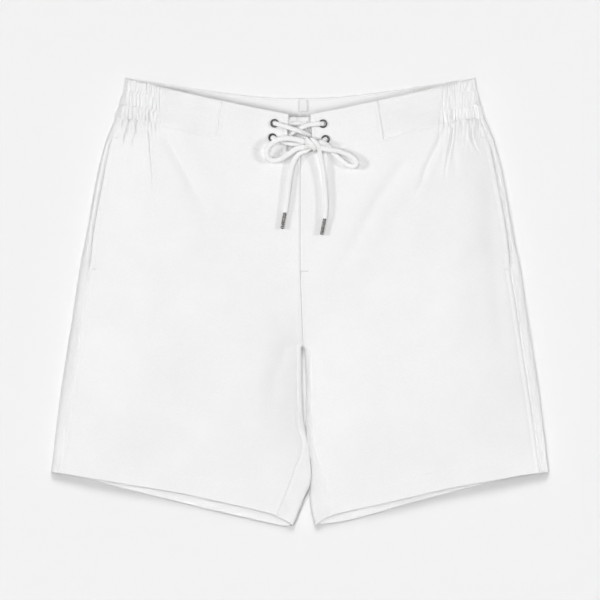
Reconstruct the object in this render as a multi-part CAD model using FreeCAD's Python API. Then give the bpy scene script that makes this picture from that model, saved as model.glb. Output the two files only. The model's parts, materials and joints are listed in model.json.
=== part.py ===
import FreeCAD, Part
import math
import os

V = FreeCAD.Vector
os.makedirs("parts", exist_ok=True)

# Board shorts laid flat on their back, front up.  Millimetres.
# +Z up from the surface they lie on, +Y from hem to waist, +X to the wearer's left.
# Origin: middle of the garment's outline, on the surface.

# ---------------------------------------------------------------- driving dimensions
CLOTH = 1.0            # shell fabric with its turned edges
LINING = 0.8           # facings and pocket bags
LAYER_GAP = 0.3        # air between neighbouring layers
SEAM_GAP = 0.3         # between neighbouring panels at a seam
SEAM_LEAN = 0.75       # the same where one edge leans over the fold
FOLD_R = 4.5           # outside radius of the side and inner leg folds
LOFT = 17.0            # rise of the front above the folds
LOFT_OUT = 110.0       # distance from the side fold at which the front is level
LOFT_IN = 80.0         # distance from the inner leg fold, or crotch, at which it is level
HEM_LOFT = 0.25          # share of the loft left at the leg hems, which lie lower
HEM_REACH = 95.0         # the loft has come back this far up from the hem
TOP = 2 * FOLD_R + LOFT  # height of the level middle of the front

ELASTIC_T = 1.0
ELASTIC_END = 145.0    # where the side elastic ends on the front, from the centre
BACK_SPLIT = 110.0     # where the side band meets the back band, from the centre
PLACKET_END_TOP = 81.5
PLACKET_END_LOW = 88.0

EYELETS = [(-26.7, 187.3), (24.0, 186.8), (-29.0, 172.3), (26.8, 170.5)]
EYELET_HOLE_R = 3.2
EYELET_BARREL_R = 3.5
EYELET_FLANGE_R = 4.6
EYELET_PROUD = 0.9

LACE_R = 2.5
KNOT = (5.5, 19.6, 160.4, 169.9)     # x0, x1, y0, y1
KNOT_Z = (0.5, 11.4)                 # above TOP
AGLET_R = 1.95
AGLET_L = 18.0

POCKET_TOP = 173.0     # pocket mouth along the side seam
POCKET_LOW = 35.0
BAG_DEPTH = 128.0      # across the leg
BAG_BOTTOM = -28.0
BAG_TOP = 176.0
FACING_W = 45.0

FLY_LOW = 32.3
CROTCH_Y = -48.8

# ---------------------------------------------------------------- outlines
# half widths of the garment's outline at the side folds, against y
OUTLINE = [(-193.3, 263.6), (-177.9, 261.8), (-158.6, 259.4), (-103.0, 252.8), (-50.5, 244.9),
           (2.0, 236.8), (44.0, 230.3), (59.8, 227.0), (87.1, 222.1), (116.5, 216.8), (140.6, 212.1),
           (159.5, 207.2), (174.2, 202.9), (185.8, 197.9), (196.3, 193.5), (209.9, 189.0),
           (222.5, 185.7), (236.0, 183.1)]
# side seam, on the front, against y
SIDE_SEAM = [(-193.3, 254.1), (-178.6, 252.6), (-145.0, 248.0), (-103.0, 242.0), (-50.5, 233.9),
             (2.0, 226.0), (36.7, 220.6), (65.0, 217.6), (92.3, 213.4), (119.6, 208.1),
             (148.0, 202.8), (176.3, 196.0), (193.1, 188.6)]
# edges against distance from the centre
WAIST_FRONT = [(0.0, 195.2), (11.6, 196.5), (21.0, 198.4), (45.1, 203.0), (63.0, 206.8),
               (84.0, 211.2), (102.9, 215.2), (128.1, 221.2), (152.2, 227.6), (168.0, 231.4), (184.0, 234.9)]
WAIST_BACK = [(0.0, 214.6), (21.0, 214.9), (45.1, 216.4), (73.5, 219.6), (120.8, 225.9),
              (144.9, 229.6), (184.0, 235.1)]
BAND_SEAM = [(0.0, 157.4), (21.0, 158.5), (42.0, 161.2), (52.5, 163.7), (73.5, 167.9),
             (88.2, 170.9), (120.8, 180.3), (144.9, 186.3), (168.0, 190.5), (195.3, 193.6)]
BAND_SEAM_BACK = [(0.0, 174.6), (21.0, 174.9), (45.1, 176.4), (73.5, 179.4), (120.8, 185.2),
                  (144.9, 188.6), (195.3, 193.6)]
HEM_FRONT = {-1: [(8.9, -233.3), (14.7, -229.5), (28.4, -223.0), (47.2, -217.8), (84.0, -209.5),
                  (120.8, -201.4), (155.4, -195.4), (188.0, -190.1), (216.3, -185.5), (248.9, -179.8), (262.5, -178.3)],
             1: [(18.3, -232.3), (27.3, -226.7), (38.9, -222.4), (47.2, -220.2), (84.0, -212.2),
                 (120.8, -203.8), (149.1, -197.0), (185.8, -190.1), (214.2, -185.3), (233.1, -181.7), (262.5, -178.3)]}
HEM_BACK = {-1: [(0.0, -235.2), (14.5, -235.1), (28.4, -233.2), (47.2, -229.0), (120.8, -211.7),
                 (155.4, -203.2), (192.9, -193.9), (216.3, -187.4), (262.5, -178.3)],
            1: [(12.6, -233.5), (16.4, -233.3), (33.3, -232.3), (47.2, -230.0), (120.8, -209.8),
                (158.1, -199.6), (195.6, -191.0), (223.7, -184.5), (262.5, -178.3)]}
# inner leg folds: x against y (row coordinates, not mirrored)
INNER = {-1: [(-235.1, -7.4), (-213.6, -0.6), (-200.6, 6.4), (-193.3, 9.5), (-182.8, 11.3), (-168.1, 10.2),
              (-145.0, 6.9), (-124.0, 2.9), (-103.0, 2.3), (-61.0, 1.9), (-48.8, 1.6)],
         1: [(-233.3, 15.5), (-206.1, 9.8), (-192.2, 11.7), (-182.8, 13.1), (-168.1, 12.0), (-149.2, 8.7),
             (-124.0, 6.9), (-103.0, 6.4), (-57.8, 5.3), (-48.8, 4.9)]}
# inseam on the front: distance from the inner leg fold against y
INSEAM = [(-235.2, 21.0), (-197.5, 21.0), (-177.5, 17.0), (-160.8, 8.5), (-145.0, 5.4), (-40.0, 5.0)]
HEM_CORNER_Y = -178.3   # where front and back hems meet at the side fold
BAND_CORNER_Y = 193.4   # where the band's seam crosses the side fold


def curve(table):
    """Smooth monotone cubic through the table's points."""
    pts = sorted(table)
    x = [p[0] for p in pts]
    y = [p[1] for p in pts]
    n = len(x)
    h = [x[i + 1] - x[i] for i in range(n - 1)]
    s = [(y[i + 1] - y[i]) / h[i] for i in range(n - 1)]
    m = [s[0]] + [0.0] * (n - 2) + [s[-1]]
    for i in range(1, n - 1):
        if s[i - 1] * s[i] > 0:
            w1, w2 = 2 * h[i] + h[i - 1], h[i] + 2 * h[i - 1]
            m[i] = (w1 + w2) / (w1 / s[i - 1] + w2 / s[i])

    def f(q):
        if q <= x[0]:
            return y[0] + m[0] * (q - x[0])
        if q >= x[-1]:
            return y[-1] + m[-1] * (q - x[-1])
        i = 0
        while q > x[i + 1]:
            i += 1
        t = (q - x[i]) / h[i]
        return (y[i] * (1 + 2 * t) * (1 - t) ** 2 + h[i] * m[i] * t * (1 - t) ** 2
                + y[i + 1] * t * t * (3 - 2 * t) - h[i] * m[i + 1] * t * t * (1 - t))
    return f


outline = curve(OUTLINE)
side_seam = curve(SIDE_SEAM)
waist_front = curve(WAIST_FRONT)
waist_back = curve(WAIST_BACK)
band_seam = curve(BAND_SEAM)
band_seam_back = curve(BAND_SEAM_BACK)
hem_front = {s: curve(HEM_FRONT[s]) for s in HEM_FRONT}
hem_back = {s: curve(HEM_BACK[s]) for s in HEM_BACK}
inner = {s: curve(INNER[s]) for s in INNER}
inseam = curve(INSEAM)


def centre_x(y):
    """The centre seam leans a little to the wearer's left on its way to the crotch."""
    return 0.4 + 2.8 * min(1.0, max(0.0, (32.0 - y) / (32.0 - CROTCH_Y)))


def inner_u(side, y):
    """The inner leg fold's distance from x = 0, positive outwards."""
    return side * inner[side](min(y, CROTCH_Y))


def inner_distance(side, u, y):
    if y <= CROTCH_Y:
        return max(0.0, u - inner_u(side, y))
    return math.hypot(max(0.0, u - side * centre_x(y)), y - CROTCH_Y)


def rise(d, reach):
    d = max(0.0, min(1.0, d / reach))
    return 1 - (1 - d) ** 3


def front_z(side, u, y):
    """Height of the front's outer face, u the distance outwards from x = 0."""
    d_out = max(0.0, outline(y) - u)
    hem = max(0.0, min(1.0, (y - hem_front[side](u)) / HEM_REACH))
    hem = HEM_LOFT + (1 - HEM_LOFT) * hem * hem * (3 - 2 * hem)
    return 2 * FOLD_R + LOFT * hem * rise(d_out, LOFT_OUT) * rise(inner_distance(side, u, y), LOFT_IN)


# ---------------------------------------------------------------- builders
def surface(grid):
    s = Part.BSplineSurface()
    s.interpolate(grid)
    return s


def solid_from(faces):
    both = Part.makeCompound(faces)
    both.sewShape()
    body = Part.makeSolid(both.Shells[0])
    if body.Volume < 0:
        body.reverse()
    return body


def ruled(a, b):
    return Part.makeRuledSurface(a, b, 1)


def iso_edges(s):
    u0, u1, v0, v1 = s.bounds()
    return [s.uIso(u0).toShape(), s.uIso(u1).toShape(), s.vIso(v0).toShape(), s.vIso(v1).toShape()]


def sheet(outer, inner_grid):
    """A closed sheet between two grids of points."""
    so, si = surface(outer), surface(inner_grid)
    sides = [ruled(a, b) for a, b in zip(iso_edges(so), iso_edges(si))]
    return solid_from([so.toShape(), si.toShape()] + sides)


def layer(grid, thick):
    """A sheet of even vertical thickness under a grid of points."""
    return surface(grid).toShape().extrude(V(0, 0, -thick))


def spline_edge(pts):
    c = Part.BSplineCurve()
    c.interpolate(pts)
    return c.toShape()


def line(a, b):
    return Part.LineSegment(a, b).toShape()


def plate(edges_at, z0, z1):
    """A flat plate: edges_at(z) gives its outline's edges at height z."""
    face = Part.Face(Part.Wire(edges_at(z0)))
    return face.extrude(V(0, 0, z1 - z0))


def tube(points, radius, name=""):
    """A round tube along straight runs joined by tangent arcs."""
    p = [V(*q) for q in points]
    n = len(p)
    runs = [(p[i + 1] - p[i]).Length for i in range(n - 1)]
    edges, at, radii, turns = [], p[0], [], []
    for i in range(1, n - 1):
        a = (p[i] - p[i - 1]).normalize()
        b = (p[i + 1] - p[i]).normalize()
        turn = math.acos(max(-1, min(1, a.dot(b))))
        reach = 0.45 * min(runs[i - 1], runs[i])
        r = reach / math.tan(turn / 2)
        radii.append(r)
        turns.append(math.degrees(turn))
        s, e = p[i] - a * reach, p[i] + b * reach
        bis = (b - a).normalize()
        centre = p[i] + bis * (r / math.cos(turn / 2))
        mid = centre - bis * r
        edges += [line(at, s), Part.Arc(s, mid, e).toShape()]
        at = e
    edges.append(line(at, p[-1]))
    path = Part.Wire(edges)
    d = (p[1] - p[0]).normalize()
    prof = Part.Wire([Part.makeCircle(radius, p[0], d)])
    body = path.makePipeShell([prof], True, False)
    if body.Volume < 0:
        body.reverse()
    want = math.pi * radius ** 2 * path.Length
    print("%-18s length %6.1f  least radius %5.1f (%.1f dia)  most turn %3.0f  volume/section*length %.4f"
          % (name, path.Length, min(radii), min(radii) / (2 * radius), max(turns), body.Volume / want))
    return body


def save(name, *solids):
    shape = solids[0] if len(solids) == 1 else Part.makeCompound(list(solids))
    for s in shape.Solids:
        if not s.isValid() or s.Volume <= 0:
            print("BAD", name, s.isValid(), s.Volume)
    print("%-26s solids %d  volume %9.1f  z %6.2f..%6.2f" % (
        name, len(shape.Solids), shape.Volume, shape.BoundBox.ZMin, shape.BoundBox.ZMax))
    shape.exportStep("parts/%s.step" % name)
    return shape


SIDES = {"right": -1, "left": 1}


def lerp(a, b, t):
    return a + (b - a) * t


def arange(n):
    return [i / (n - 1.0) for i in range(n)]


# ---------------------------------------------------------------- front panels
def front_end(side, y):
    """Where a front panel ends on the inside: centre seam, then inseam."""
    torso = side * centre_x(y) + SEAM_GAP / 2
    leg = inner_u(side, y) + inseam(y) + SEAM_GAP / 2
    t = max(0.0, min(1.0, (CROTCH_Y + 6 - y) / 14.0))
    t = t * t * (3 - 2 * t)
    return lerp(torso, leg, t)


def front_row(side, t, u):
    return lerp(hem_front[side](u), band_seam(u) - SEAM_GAP / 2, t)


def front_grid(side, drop=0.0, rows=34, cols=20):
    grid = []
    for t in arange(rows):
        y = front_row(side, t, 20)
        for _ in range(12):
            end_in = front_end(side, y)
            y = front_row(side, t, end_in)
        y = front_row(side, t, 220)
        for _ in range(12):
            end_out = side_seam(y) - SEAM_GAP / 2
            y = front_row(side, t, end_out)
        row = []
        for s in arange(cols):
            # columns closer together where the front bends most
            s = s - 0.10 * math.sin(2 * math.pi * s) / (2 * math.pi) * 2
            u = lerp(end_in, end_out, s)
            yy = front_row(side, t, u)
            row.append(V(side * u, yy, front_z(side, u, yy) - drop))
        grid.append(row)
    return grid


# ---------------------------------------------------------------- back panels
def fold_section(u_edge, sign, y, side, d_end, n_top=1):
    """Section of a fold from the surface it lies on, round the edge, to d_end inside it.
    sign +1: the fold bulges outwards (side fold), -1: inwards (inner leg fold)."""
    pts = []
    for i in range(10):
        phi = math.radians(-90 + 20 * i)
        d = FOLD_R * (1 - math.cos(phi))
        u = u_edge - sign * d
        z = FOLD_R + FOLD_R * math.sin(phi)
        if phi > 0:
            z += (front_z(side, u, y) - 2 * FOLD_R) * math.sin(phi) ** 2
        pts.append((u, z))
    for i in range(1, n_top + 1):
        d = lerp(FOLD_R, d_end, i / n_top)
        u = u_edge - sign * d
        pts.append((u, front_z(side, u, y)))
    return pts


def offset_section(pts, t, sign):
    """The section moved inwards by t."""
    out = []
    n = len(pts)
    for i in range(n):
        a, b = pts[max(0, i - 1)], pts[min(n - 1, i + 1)]
        du, dz = b[0] - a[0], b[1] - a[1]
        if i == 0:
            du, dz = sign, 0.0
        ln = math.hypot(du, dz)
        # the inside is to the left of the way up a side fold, to the right of an inner one
        nu, nz = -dz / ln * sign, du / ln * sign
        out.append((pts[i][0] + t * nu, pts[i][1] + t * nz))
    return out


def fold_grids(side, ys, edge_u, sign, d_end, t0, t1):
    outer, inn = [], []
    for y in ys:
        sec = fold_section(edge_u(y), sign, y, side, d_end(y))
        a = offset_section(sec, t0, sign) if t0 else sec
        b = offset_section(sec, t1, sign)
        outer.append([V(side * u, y, z) for u, z in a])
        inn.append([V(side * u, y, z) for u, z in b])
    return outer, inn


def even_spline(pts):
    """A curve through the points at even parameters, so that neighbouring ones match."""
    c = Part.BSplineCurve()
    c.interpolate(Points=pts, Parameters=arange(len(pts)))
    return c.toShape()


def fold_faces(outer, inn):
    """Faces of a fold: lengthwise strips outside and inside, closed at both ends and at the seam."""
    n = len(outer[0])
    co = [even_spline([row[j] for row in outer]) for j in range(n)]
    ci = [even_spline([row[j] for row in inn]) for j in range(n)]
    faces = [ruled(c[j], c[j + 1]) for c in (co, ci) for j in range(n - 1)]
    faces.append(ruled(co[-1], ci[-1]))
    for r in (0, -1):
        faces += [ruled(line(outer[r][j], outer[r][j + 1]), line(inn[r][j], inn[r][j + 1])) for j in range(n - 1)]
    return faces, co[0], ci[0]


def back_panel(side):
    # the side fold, from hem corner to band corner
    ys_out = [lerp(HEM_CORNER_Y, BAND_CORNER_Y - 2 * SEAM_GAP, t) for t in arange(22)]
    o1, i1 = fold_grids(side, ys_out, lambda y: outline(y), 1,
                        lambda y: outline(y) - side_seam(y) - SEAM_LEAN, 0, CLOTH)
    # the inner leg fold, from the back hem to just under the crotch
    u_hem = inner_u(side, -234.0) + FOLD_R
    hem_in_y = hem_back[side](max(u_hem, 0.0) if side < 0 else u_hem)
    ys_in = [lerp(hem_in_y, CROTCH_Y - 8.0, t) for t in arange(20)]
    o2, i2 = fold_grids(side, ys_in, lambda y: inner_u(side, y), -1,
                        lambda y: inseam(y) - SEAM_LEAN, 0, CLOTH)
    f1, floor_o1, floor_i1 = fold_faces(o1, i1)
    f2, floor_o2, floor_i2 = fold_faces(o2, i2)
    faces = f1 + f2
    # the flat part on the surface, between the two folds
    a_low, a_high = o1[0][0], o1[-1][0]
    b_low, b_high = o2[0][0], o2[-1][0]

    def flat(z, e_out, e_in):
        def at(u, y):
            return V(side * u, y, z)
        hem_pts = [V(a_low.x, a_low.y, z)]
        ua, ub = side * a_low.x, side * b_low.x
        for s in arange(14)[1:-1]:
            u = lerp(ua, ub, s)
            hem_pts.append(at(u, hem_back[side](u)))
        hem_pts.append(V(b_low.x, b_low.y, z))
        cu = side * centre_x(CROTCH_Y) + SEAM_GAP / 2
        c_low = at(cu, b_high.y)
        cu2 = side * centre_x(200) + SEAM_GAP / 2
        top_y = band_seam_back(0) - SEAM_GAP / 2
        c_mid = at(cu2, 32.0)
        c_top = at(cu2, top_y)
        top_pts = [c_top]
        uh = side * a_high.x
        for s in arange(12)[1:-1]:
            u = lerp(cu2, uh, s)
            top_pts.append(at(u, band_seam_back(u) - SEAM_GAP / 2))
        top_pts.append(V(a_high.x, a_high.y, z))
        plain = [spline_edge(hem_pts), line(V(b_high.x, b_high.y, z), c_low), line(c_low, c_mid),
                 line(c_mid, c_top), spline_edge(top_pts)]
        return plain, Part.Face(Part.Wire(Part.__sortEdges__(plain + [e_out, e_in])))

    low, f_low = flat(0.0, floor_o1, floor_o2)
    high, f_high = flat(CLOTH, floor_i1, floor_i2)
    faces += [f_low, f_high] + [ruled(a, b) for a, b in zip(low, high)]
    return solid_from(faces)


# ---------------------------------------------------------------- waistband
def band_path(side, t, u_in, u_back, top_front, low_front, top_back, low_back):
    """One row of a side band: from u_in on the front, round the side fold, to u_back below."""
    y_side = lerp(top_front(184.0), low_front(190.0), t)
    w = outline(y_side)
    pts = []
    n_top = 16
    for i in range(n_top):
        s = i / n_top
        s = s + 0.25 * s * (1 - s)
        u = lerp(u_in, w - FOLD_R, s)
        y = lerp(top_front(u), low_front(u), t)
        pts.append((u, y, front_z(side, u, y), 0))
    for i in range(13):
        phi = math.radians(90 - 15 * i)
        u = w - FOLD_R * (1 - math.cos(phi))
        k = (1 - math.sin(phi)) / 2
        y = lerp(lerp(top_front(u), low_front(u), t), lerp(top_back(u), low_back(u), t), k)
        z = FOLD_R + FOLD_R * math.sin(phi)
        if phi > 0:
            z += (front_z(side, u, y) - 2 * FOLD_R) * math.sin(phi) ** 2
        pts.append((u, y, z, 1))
    for i in range(1, 11):
        u = lerp(w - FOLD_R, u_back, (i / 10.0) ** 2)
        pts.append((u, lerp(top_back(u), low_back(u), t), 0.0, 2))
    return pts


def band_sheet(side, u_in, u_back, t0, t1, top_front, low_front, top_back, low_back, rows=5):
    outer, inn = [], []
    for t in arange(rows):
        ui = u_in(t)
        path = band_path(side, t, ui, u_back, top_front, low_front, top_back, low_back)
        sec = [(p[0], p[2]) for p in path]
        n = len(sec)
        for depth, grid in ((t0, outer), (t1, inn)):
            row = []
            for i in range(n):
                a, b = sec[max(0, i - 1)], sec[min(n - 1, i + 1)]
                du, dz = b[0] - a[0], b[1] - a[1]
                if i == 0:
                    du, dz = 1.0, 0.0
                if path[i][3] == 2:
                    du, dz = -1.0, 0.0
                ln = math.hypot(du, dz)
                nu, nz = dz / ln, -du / ln
                row.append(V(side * (sec[i][0] + depth * nu), path[i][1], sec[i][1] + depth * nz))
            grid.append(row)
    return sheet(outer, inn)


def strip_plate(side, u0_top, u0_low, u1_top, u1_low, top, low, z1, thick, holes=()):
    """A level plate between two edges across the band or fly, from u0 to u1."""
    z0 = z1 - thick

    def edges(z):
        n = 9
        up = [V(side * lerp(u0_top, u1_top, s), top(lerp(u0_top, u1_top, s)), z) for s in arange(n)]
        dn = [V(side * lerp(u0_low, u1_low, s), low(lerp(u0_low, u1_low, s)), z) for s in arange(n)]
        return Part.__sortEdges__([spline_edge(up), line(up[-1], dn[-1]), spline_edge(dn), line(dn[0], up[0])])

    body = plate(edges, z0, z1)
    for x, y, r in holes:
        body = body.cut(Part.makeCylinder(r, thick + 4, V(x, y, z0 - 2)))
    return body.Solids[0]


# gap between the two plackets: inner edges, from the top edge to the seam
GAP_TOP = {-1: 12.2, 1: 11.4}
GAP_LOW = {-1: 14.2, 1: 14.2}

Z_BAND = TOP
Z_INTER = TOP - CLOTH - LAYER_GAP
INTER_T = 0.8
Z_FACE = Z_INTER - INTER_T - LAYER_GAP
Z_WASHER = Z_FACE - LINING
WASHER_T = 0.6

shapes = {}
for word, side in SIDES.items():
    mine = [(x, y) for x, y in EYELETS if x * side > 0]
    shapes["front_panel_" + word] = save("front_panel_" + word, layer(front_grid(side), CLOTH))
    shapes["back_panel_" + word] = save("back_panel_" + word, back_panel(side))

    # front band tab with its two eyelet holes
    gt, gl = GAP_TOP[side], GAP_LOW[side]
    shapes["waistband_placket_" + word] = save("waistband_placket_" + word, strip_plate(
        side, gt, gl, PLACKET_END_TOP - SEAM_GAP, PLACKET_END_LOW - SEAM_GAP,
        waist_front, lambda u: band_seam(u) + SEAM_GAP / 2, Z_BAND, CLOTH,
        [(x, y, EYELET_BARREL_R + 0.1) for x, y in mine]))
    shapes["placket_interlining_" + word] = save("placket_interlining_" + word, strip_plate(
        side, gt + 1.5, gl + 1.5, PLACKET_END_TOP - 4, PLACKET_END_LOW - 4,
        lambda u: waist_front(u) - 1.5, lambda u: band_seam(u) + 2.0, Z_INTER, INTER_T,
        [(x, y, EYELET_BARREL_R + 0.1) for x, y in mine]))
    shapes["facing_front_" + word] = save("facing_front_" + word, strip_plate(
        side, gt, gl, PLACKET_END_TOP, PLACKET_END_LOW,
        waist_front, lambda u: band_seam(u) + 0.5, Z_FACE, LINING,
        [(x, y, EYELET_BARREL_R + 0.1) for x, y in mine]))

    # side run of the band, round the side fold, and the elastic inside it
    shapes["waistband_side_" + word] = save("waistband_side_" + word, band_sheet(
        side, lambda t: lerp(PLACKET_END_TOP, PLACKET_END_LOW, t) + SEAM_GAP / 2, BACK_SPLIT, 0.0, CLOTH,
        waist_front, lambda u: band_seam(u) + SEAM_GAP / 2,
        waist_back, lambda u: band_seam_back(u) + SEAM_GAP / 2))
    shapes["elastic_" + word] = save("elastic_" + word, band_sheet(
        side, lambda t: ELASTIC_END, BACK_SPLIT + 8.0, CLOTH + LAYER_GAP, CLOTH + LAYER_GAP + ELASTIC_T,
        lambda u: waist_front(u) - 2.0, lambda u: band_seam(u) + 2.5,
        lambda u: waist_back(u) - 2.0, lambda u: band_seam_back(u) + 2.5))

# back run of the band, one piece across the centre, and its facing
def back_strip(u_end, top, low, z0, z1, inset=0.0):
    def edges(z):
        n = 17
        up = [V(x, top(abs(x)), z) for x in [lerp(-u_end, u_end, s) for s in arange(n)]]
        dn = [V(x, low(abs(x)), z) for x in [lerp(-u_end, u_end, s) for s in arange(n)]]
        return Part.__sortEdges__([spline_edge(up), line(up[-1], dn[-1]), spline_edge(dn), line(dn[0], up[0])])
    return plate(edges, z0, z1)


save("waistband_back", back_strip(BACK_SPLIT - SEAM_GAP / 2, waist_back,
                                  lambda u: band_seam_back(u) + SEAM_GAP / 2, 0.0, CLOTH))
Z_BACKFACE = CLOTH + LAYER_GAP
save("facing_back", back_strip(BACK_SPLIT + 6.0, lambda u: waist_back(u) - 0.3,
                               lambda u: band_seam_back(u) + 0.5, Z_BACKFACE, Z_BACKFACE + LINING))
# small tape loop sewn to the back facing
save("hanger_loop", Part.makeBox(7.4, 12.6, 0.9, V(0.0, 200.5, Z_BACKFACE + LINING + LAYER_GAP)))

# ---------------------------------------------------------------- eyelets
def eyelet(x, y):
    """Rolled flange on the face, barrel through the layers."""
    r0, r1, r2 = EYELET_HOLE_R, EYELET_BARREL_R, EYELET_FLANGE_R
    z = TOP
    low = Z_WASHER - WASHER_T - 0.15
    h = EYELET_PROUD
    # profile in the radial plane: rounded flange, hollow barrel
    p = [V(r0, 0, low), V(r1, 0, low), V(r1, 0, z + 0.05), V(r2, 0, z + 0.05)]
    # rolled top in short cones
    q = [V(r2, 0, z + 0.05), V(r2 - 0.08, 0, z + 0.45), V(r2 - 0.38, 0, z + 0.80), V(r2 - 0.70, 0, z + h),
         V(r0 + 0.25, 0, z + 0.75), V(r0, 0, z + 0.35)]
    wire = Part.Wire([line(p[0], p[1]), line(p[1], p[2]), line(p[2], p[3])]
                     + [line(q[k], q[k + 1]) for k in range(len(q) - 1)] + [line(q[-1], p[0])])
    body = Part.Face(wire).revolve(V(0, 0, 0), V(0, 0, 1), 360)
    body.translate(V(x, y, 0))
    return body.Solids[0] if body.Solids else Part.makeSolid(body.Shells[0])


def washer(x, y):
    z = Z_WASHER - 0.1
    ring = Part.makeCylinder(EYELET_FLANGE_R, WASHER_T, V(x, y, z - WASHER_T)).cut(
        Part.makeCylinder(EYELET_BARREL_R + 0.06, 4, V(x, y, z - 3)))
    return ring.Solids[0]


shapes["eyelets"] = save("eyelets", *[eyelet(x, y) for x, y in EYELETS])
save("eyelet_washers", *[washer(x, y) for x, y in EYELETS])

# ---------------------------------------------------------------- fly
# facing of the wearer's right front edge, under the front panel
Z_FLY = TOP - CLOTH - LAYER_GAP
save("fly_facing", strip_plate(-1, -0.4, -0.4, 34.0, 26.0, lambda u: 153.0, lambda u: FLY_LOW + 0.012 * u * u,
                               Z_FLY, LINING))
TAPE_T = 1.1
save("fly_loop_tape", Part.makeBox(16.0, 96.0, TAPE_T, V(-24.0, 48.0, Z_FLY - LINING - LAYER_GAP - TAPE_T)))
Z_HOOK = Z_FLY - LINING - LAYER_GAP - TAPE_T - LAYER_GAP
save("fly_hook_tape", Part.makeBox(16.0, 96.0, TAPE_T, V(-24.0, 48.0, Z_HOOK - TAPE_T)))
# shield behind the fly and the lacing: deeper behind the lacing
Z_SHIELD = Z_HOOK - TAPE_T - LAYER_GAP
SHIELD_DEEP = TOP - 10.5


def shield_grid():
    grid = []
    for t in arange(22):
        y = lerp(FLY_LOW + 2, 194.0, t)
        k = max(0.0, min(1.0, (y - 146.0) / 14.0))
        k = k * k * (3 - 2 * k)
        z = lerp(Z_SHIELD, SHIELD_DEEP, k)
        left = lerp(-28.0, -2.1, k)
        grid.append([V(lerp(left, 31.0, s), y, z) for s in arange(6)])
    return grid


save("fly_underlap", layer(shield_grid(), LINING))

# ---------------------------------------------------------------- pockets
def bag_grid(side, drop, u_from, u_to, y_low, y_high, cols=12, rows=18):
    grid = []
    for t in arange(rows):
        row = []
        for s in arange(cols):
            y = lerp(y_low, y_high, t)
            for _ in range(6):
                near = side_seam(y) - u_from
                # the bag narrows with a round lower corner
                k = max(0.0, (y_low + 45.0 - y) / 45.0)
                far = side_seam(y) - (u_to - 30.0 * k * k)
                u = lerp(far, near, s)
                y = lerp(y_low, min(y_high, band_seam(u) - 1.0), t)
            row.append(V(side * u, y, front_z(side, u, y) - drop))
        grid.append(row)
    return grid


BAG_1 = CLOTH + LAYER_GAP
BAG_2 = BAG_1 + LINING + LAYER_GAP
for word, side in SIDES.items():
    save("pocket_bag_front_" + word,
         layer(bag_grid(side, BAG_1, 3.0, BAG_DEPTH, BAG_BOTTOM, BAG_TOP), LINING))
    save("pocket_facing_" + word,
         layer(bag_grid(side, BAG_2, 1.2, FACING_W, POCKET_LOW - 12.0, BAG_TOP, cols=6), LINING))
    save("pocket_bag_back_" + word,
         layer(bag_grid(side, BAG_2 + LINING + LAYER_GAP, 3.0, BAG_DEPTH, BAG_BOTTOM, BAG_TOP), LINING))

# ---------------------------------------------------------------- bar tacks
def tack(x, y, angle, length, side, wide=1.8):
    u = x * side
    z = max(front_z(side, u + du * math.cos(angle), y + du * math.sin(angle)) for du in (-length / 2, 0, length / 2)) + 0.05
    b = Part.makeBox(length, wide, 0.5, V(-length / 2, -wide / 2, 0))
    b.rotate(V(0, 0, 0), V(0, 0, 1), math.degrees(angle))
    b.translate(V(x, y, z))
    return b


save("bar_tacks", tack(-191.0, 173.0, 0.3, 7.0, -1), tack(-215.2, 34.6, 0.1, 7.0, -1),
     tack(191.0, 173.0, -0.3, 7.0, 1), tack(215.2, 34.6, -0.1, 7.0, 1), tack(4.6, 32.2, 0.0, 7.5, 1))

# ---------------------------------------------------------------- lace
T = TOP
kx0, kx1, ky0, ky1 = KNOT
UR_, UL_ = EYELETS[0], EYELETS[1]     # upper eyelets, wearer's right and left
LR_, LL_ = EYELETS[2], EYELETS[3]     # lower ones
UP, DOWN = 4.2, -7.4
# one continuous stretch: knot, lower right eyelet, behind the tab, across, upper left eyelet,
# bar behind, upper right eyelet, across on top, behind the tab, lower left eyelet, knot
LACING = [
    (kx0 - 0.15, 164.7, T + 3.1), (-2.5, 164.9, T + 3.2), (-15.5, 166.6, T + 3.6), (LR_[0], LR_[1], T + UP),
    (LR_[0], LR_[1], T + DOWN), (-11.9, 173.9, T - 7.0), (-4.4, 179.4, T - 2.0), (1.5, 182.6, T + 0.6),
    (10.5, 186.0, T + 3.4), (UL_[0], UL_[1], T + UP),
    (UL_[0], UL_[1], T + DOWN), (8.0, 186.5, T + DOWN), (-8.0, 187.2, T + DOWN), (UR_[0], UR_[1], T + DOWN),
    (UR_[0], UR_[1], T + UP), (-9.5, 181.9, T + 4.3), (0.5, 178.5, T + 4.1), (11.4, 174.6, T - 7.0),
    (LL_[0], LL_[1], T + DOWN), (LL_[0], LL_[1], T + UP), (21.0, 166.9, T + 3.6)]
shapes["lace_lacing"] = save("lace_lacing", tube(LACING, LACE_R, "lace_lacing"))
LOOP_R = [(kx0 - 0.9, 167.4, T + 8.8), (-1.4, 169.4, T + 9.5), (-11.5, 171.4, T + 10.0), (-21.8, 170.5, T + 9.9),
          (-30.2, 166.0, T + 7.7), (-35.4, 158.9, T + 4.4), (-34.6, 151.0, T + 3.0), (-28.0, 147.2, T + 2.8),
          (-19.4, 149.6, T + 3.6), (-10.6, 155.6, T + 6.0), (-3.4, 161.2, T + 8.0), (kx0 - 0.9, 162.0, T + 8.4)]
LOOP_L = [(kx1 + 0.9, 162.0, T + 8.2), (27.0, 159.6, T + 8.8), (33.5, 158.9, T + 9.2), (41.0, 157.9, T + 7.4),
          (49.5, 154.8, T + 4.8), (56.4, 150.6, T + 3.1), (59.9, 145.4, T + 2.9), (56.2, 141.0, T + 2.8),
          (49.2, 143.4, T + 2.8), (41.0, 149.8, T + 2.8), (34.4, 157.4, T + 2.9), (28.6, 163.6, T + 4.6),
          (25.0, 166.6, T + 8.8), (kx1 + 0.9, 167.4, T + 9.0)]
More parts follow.
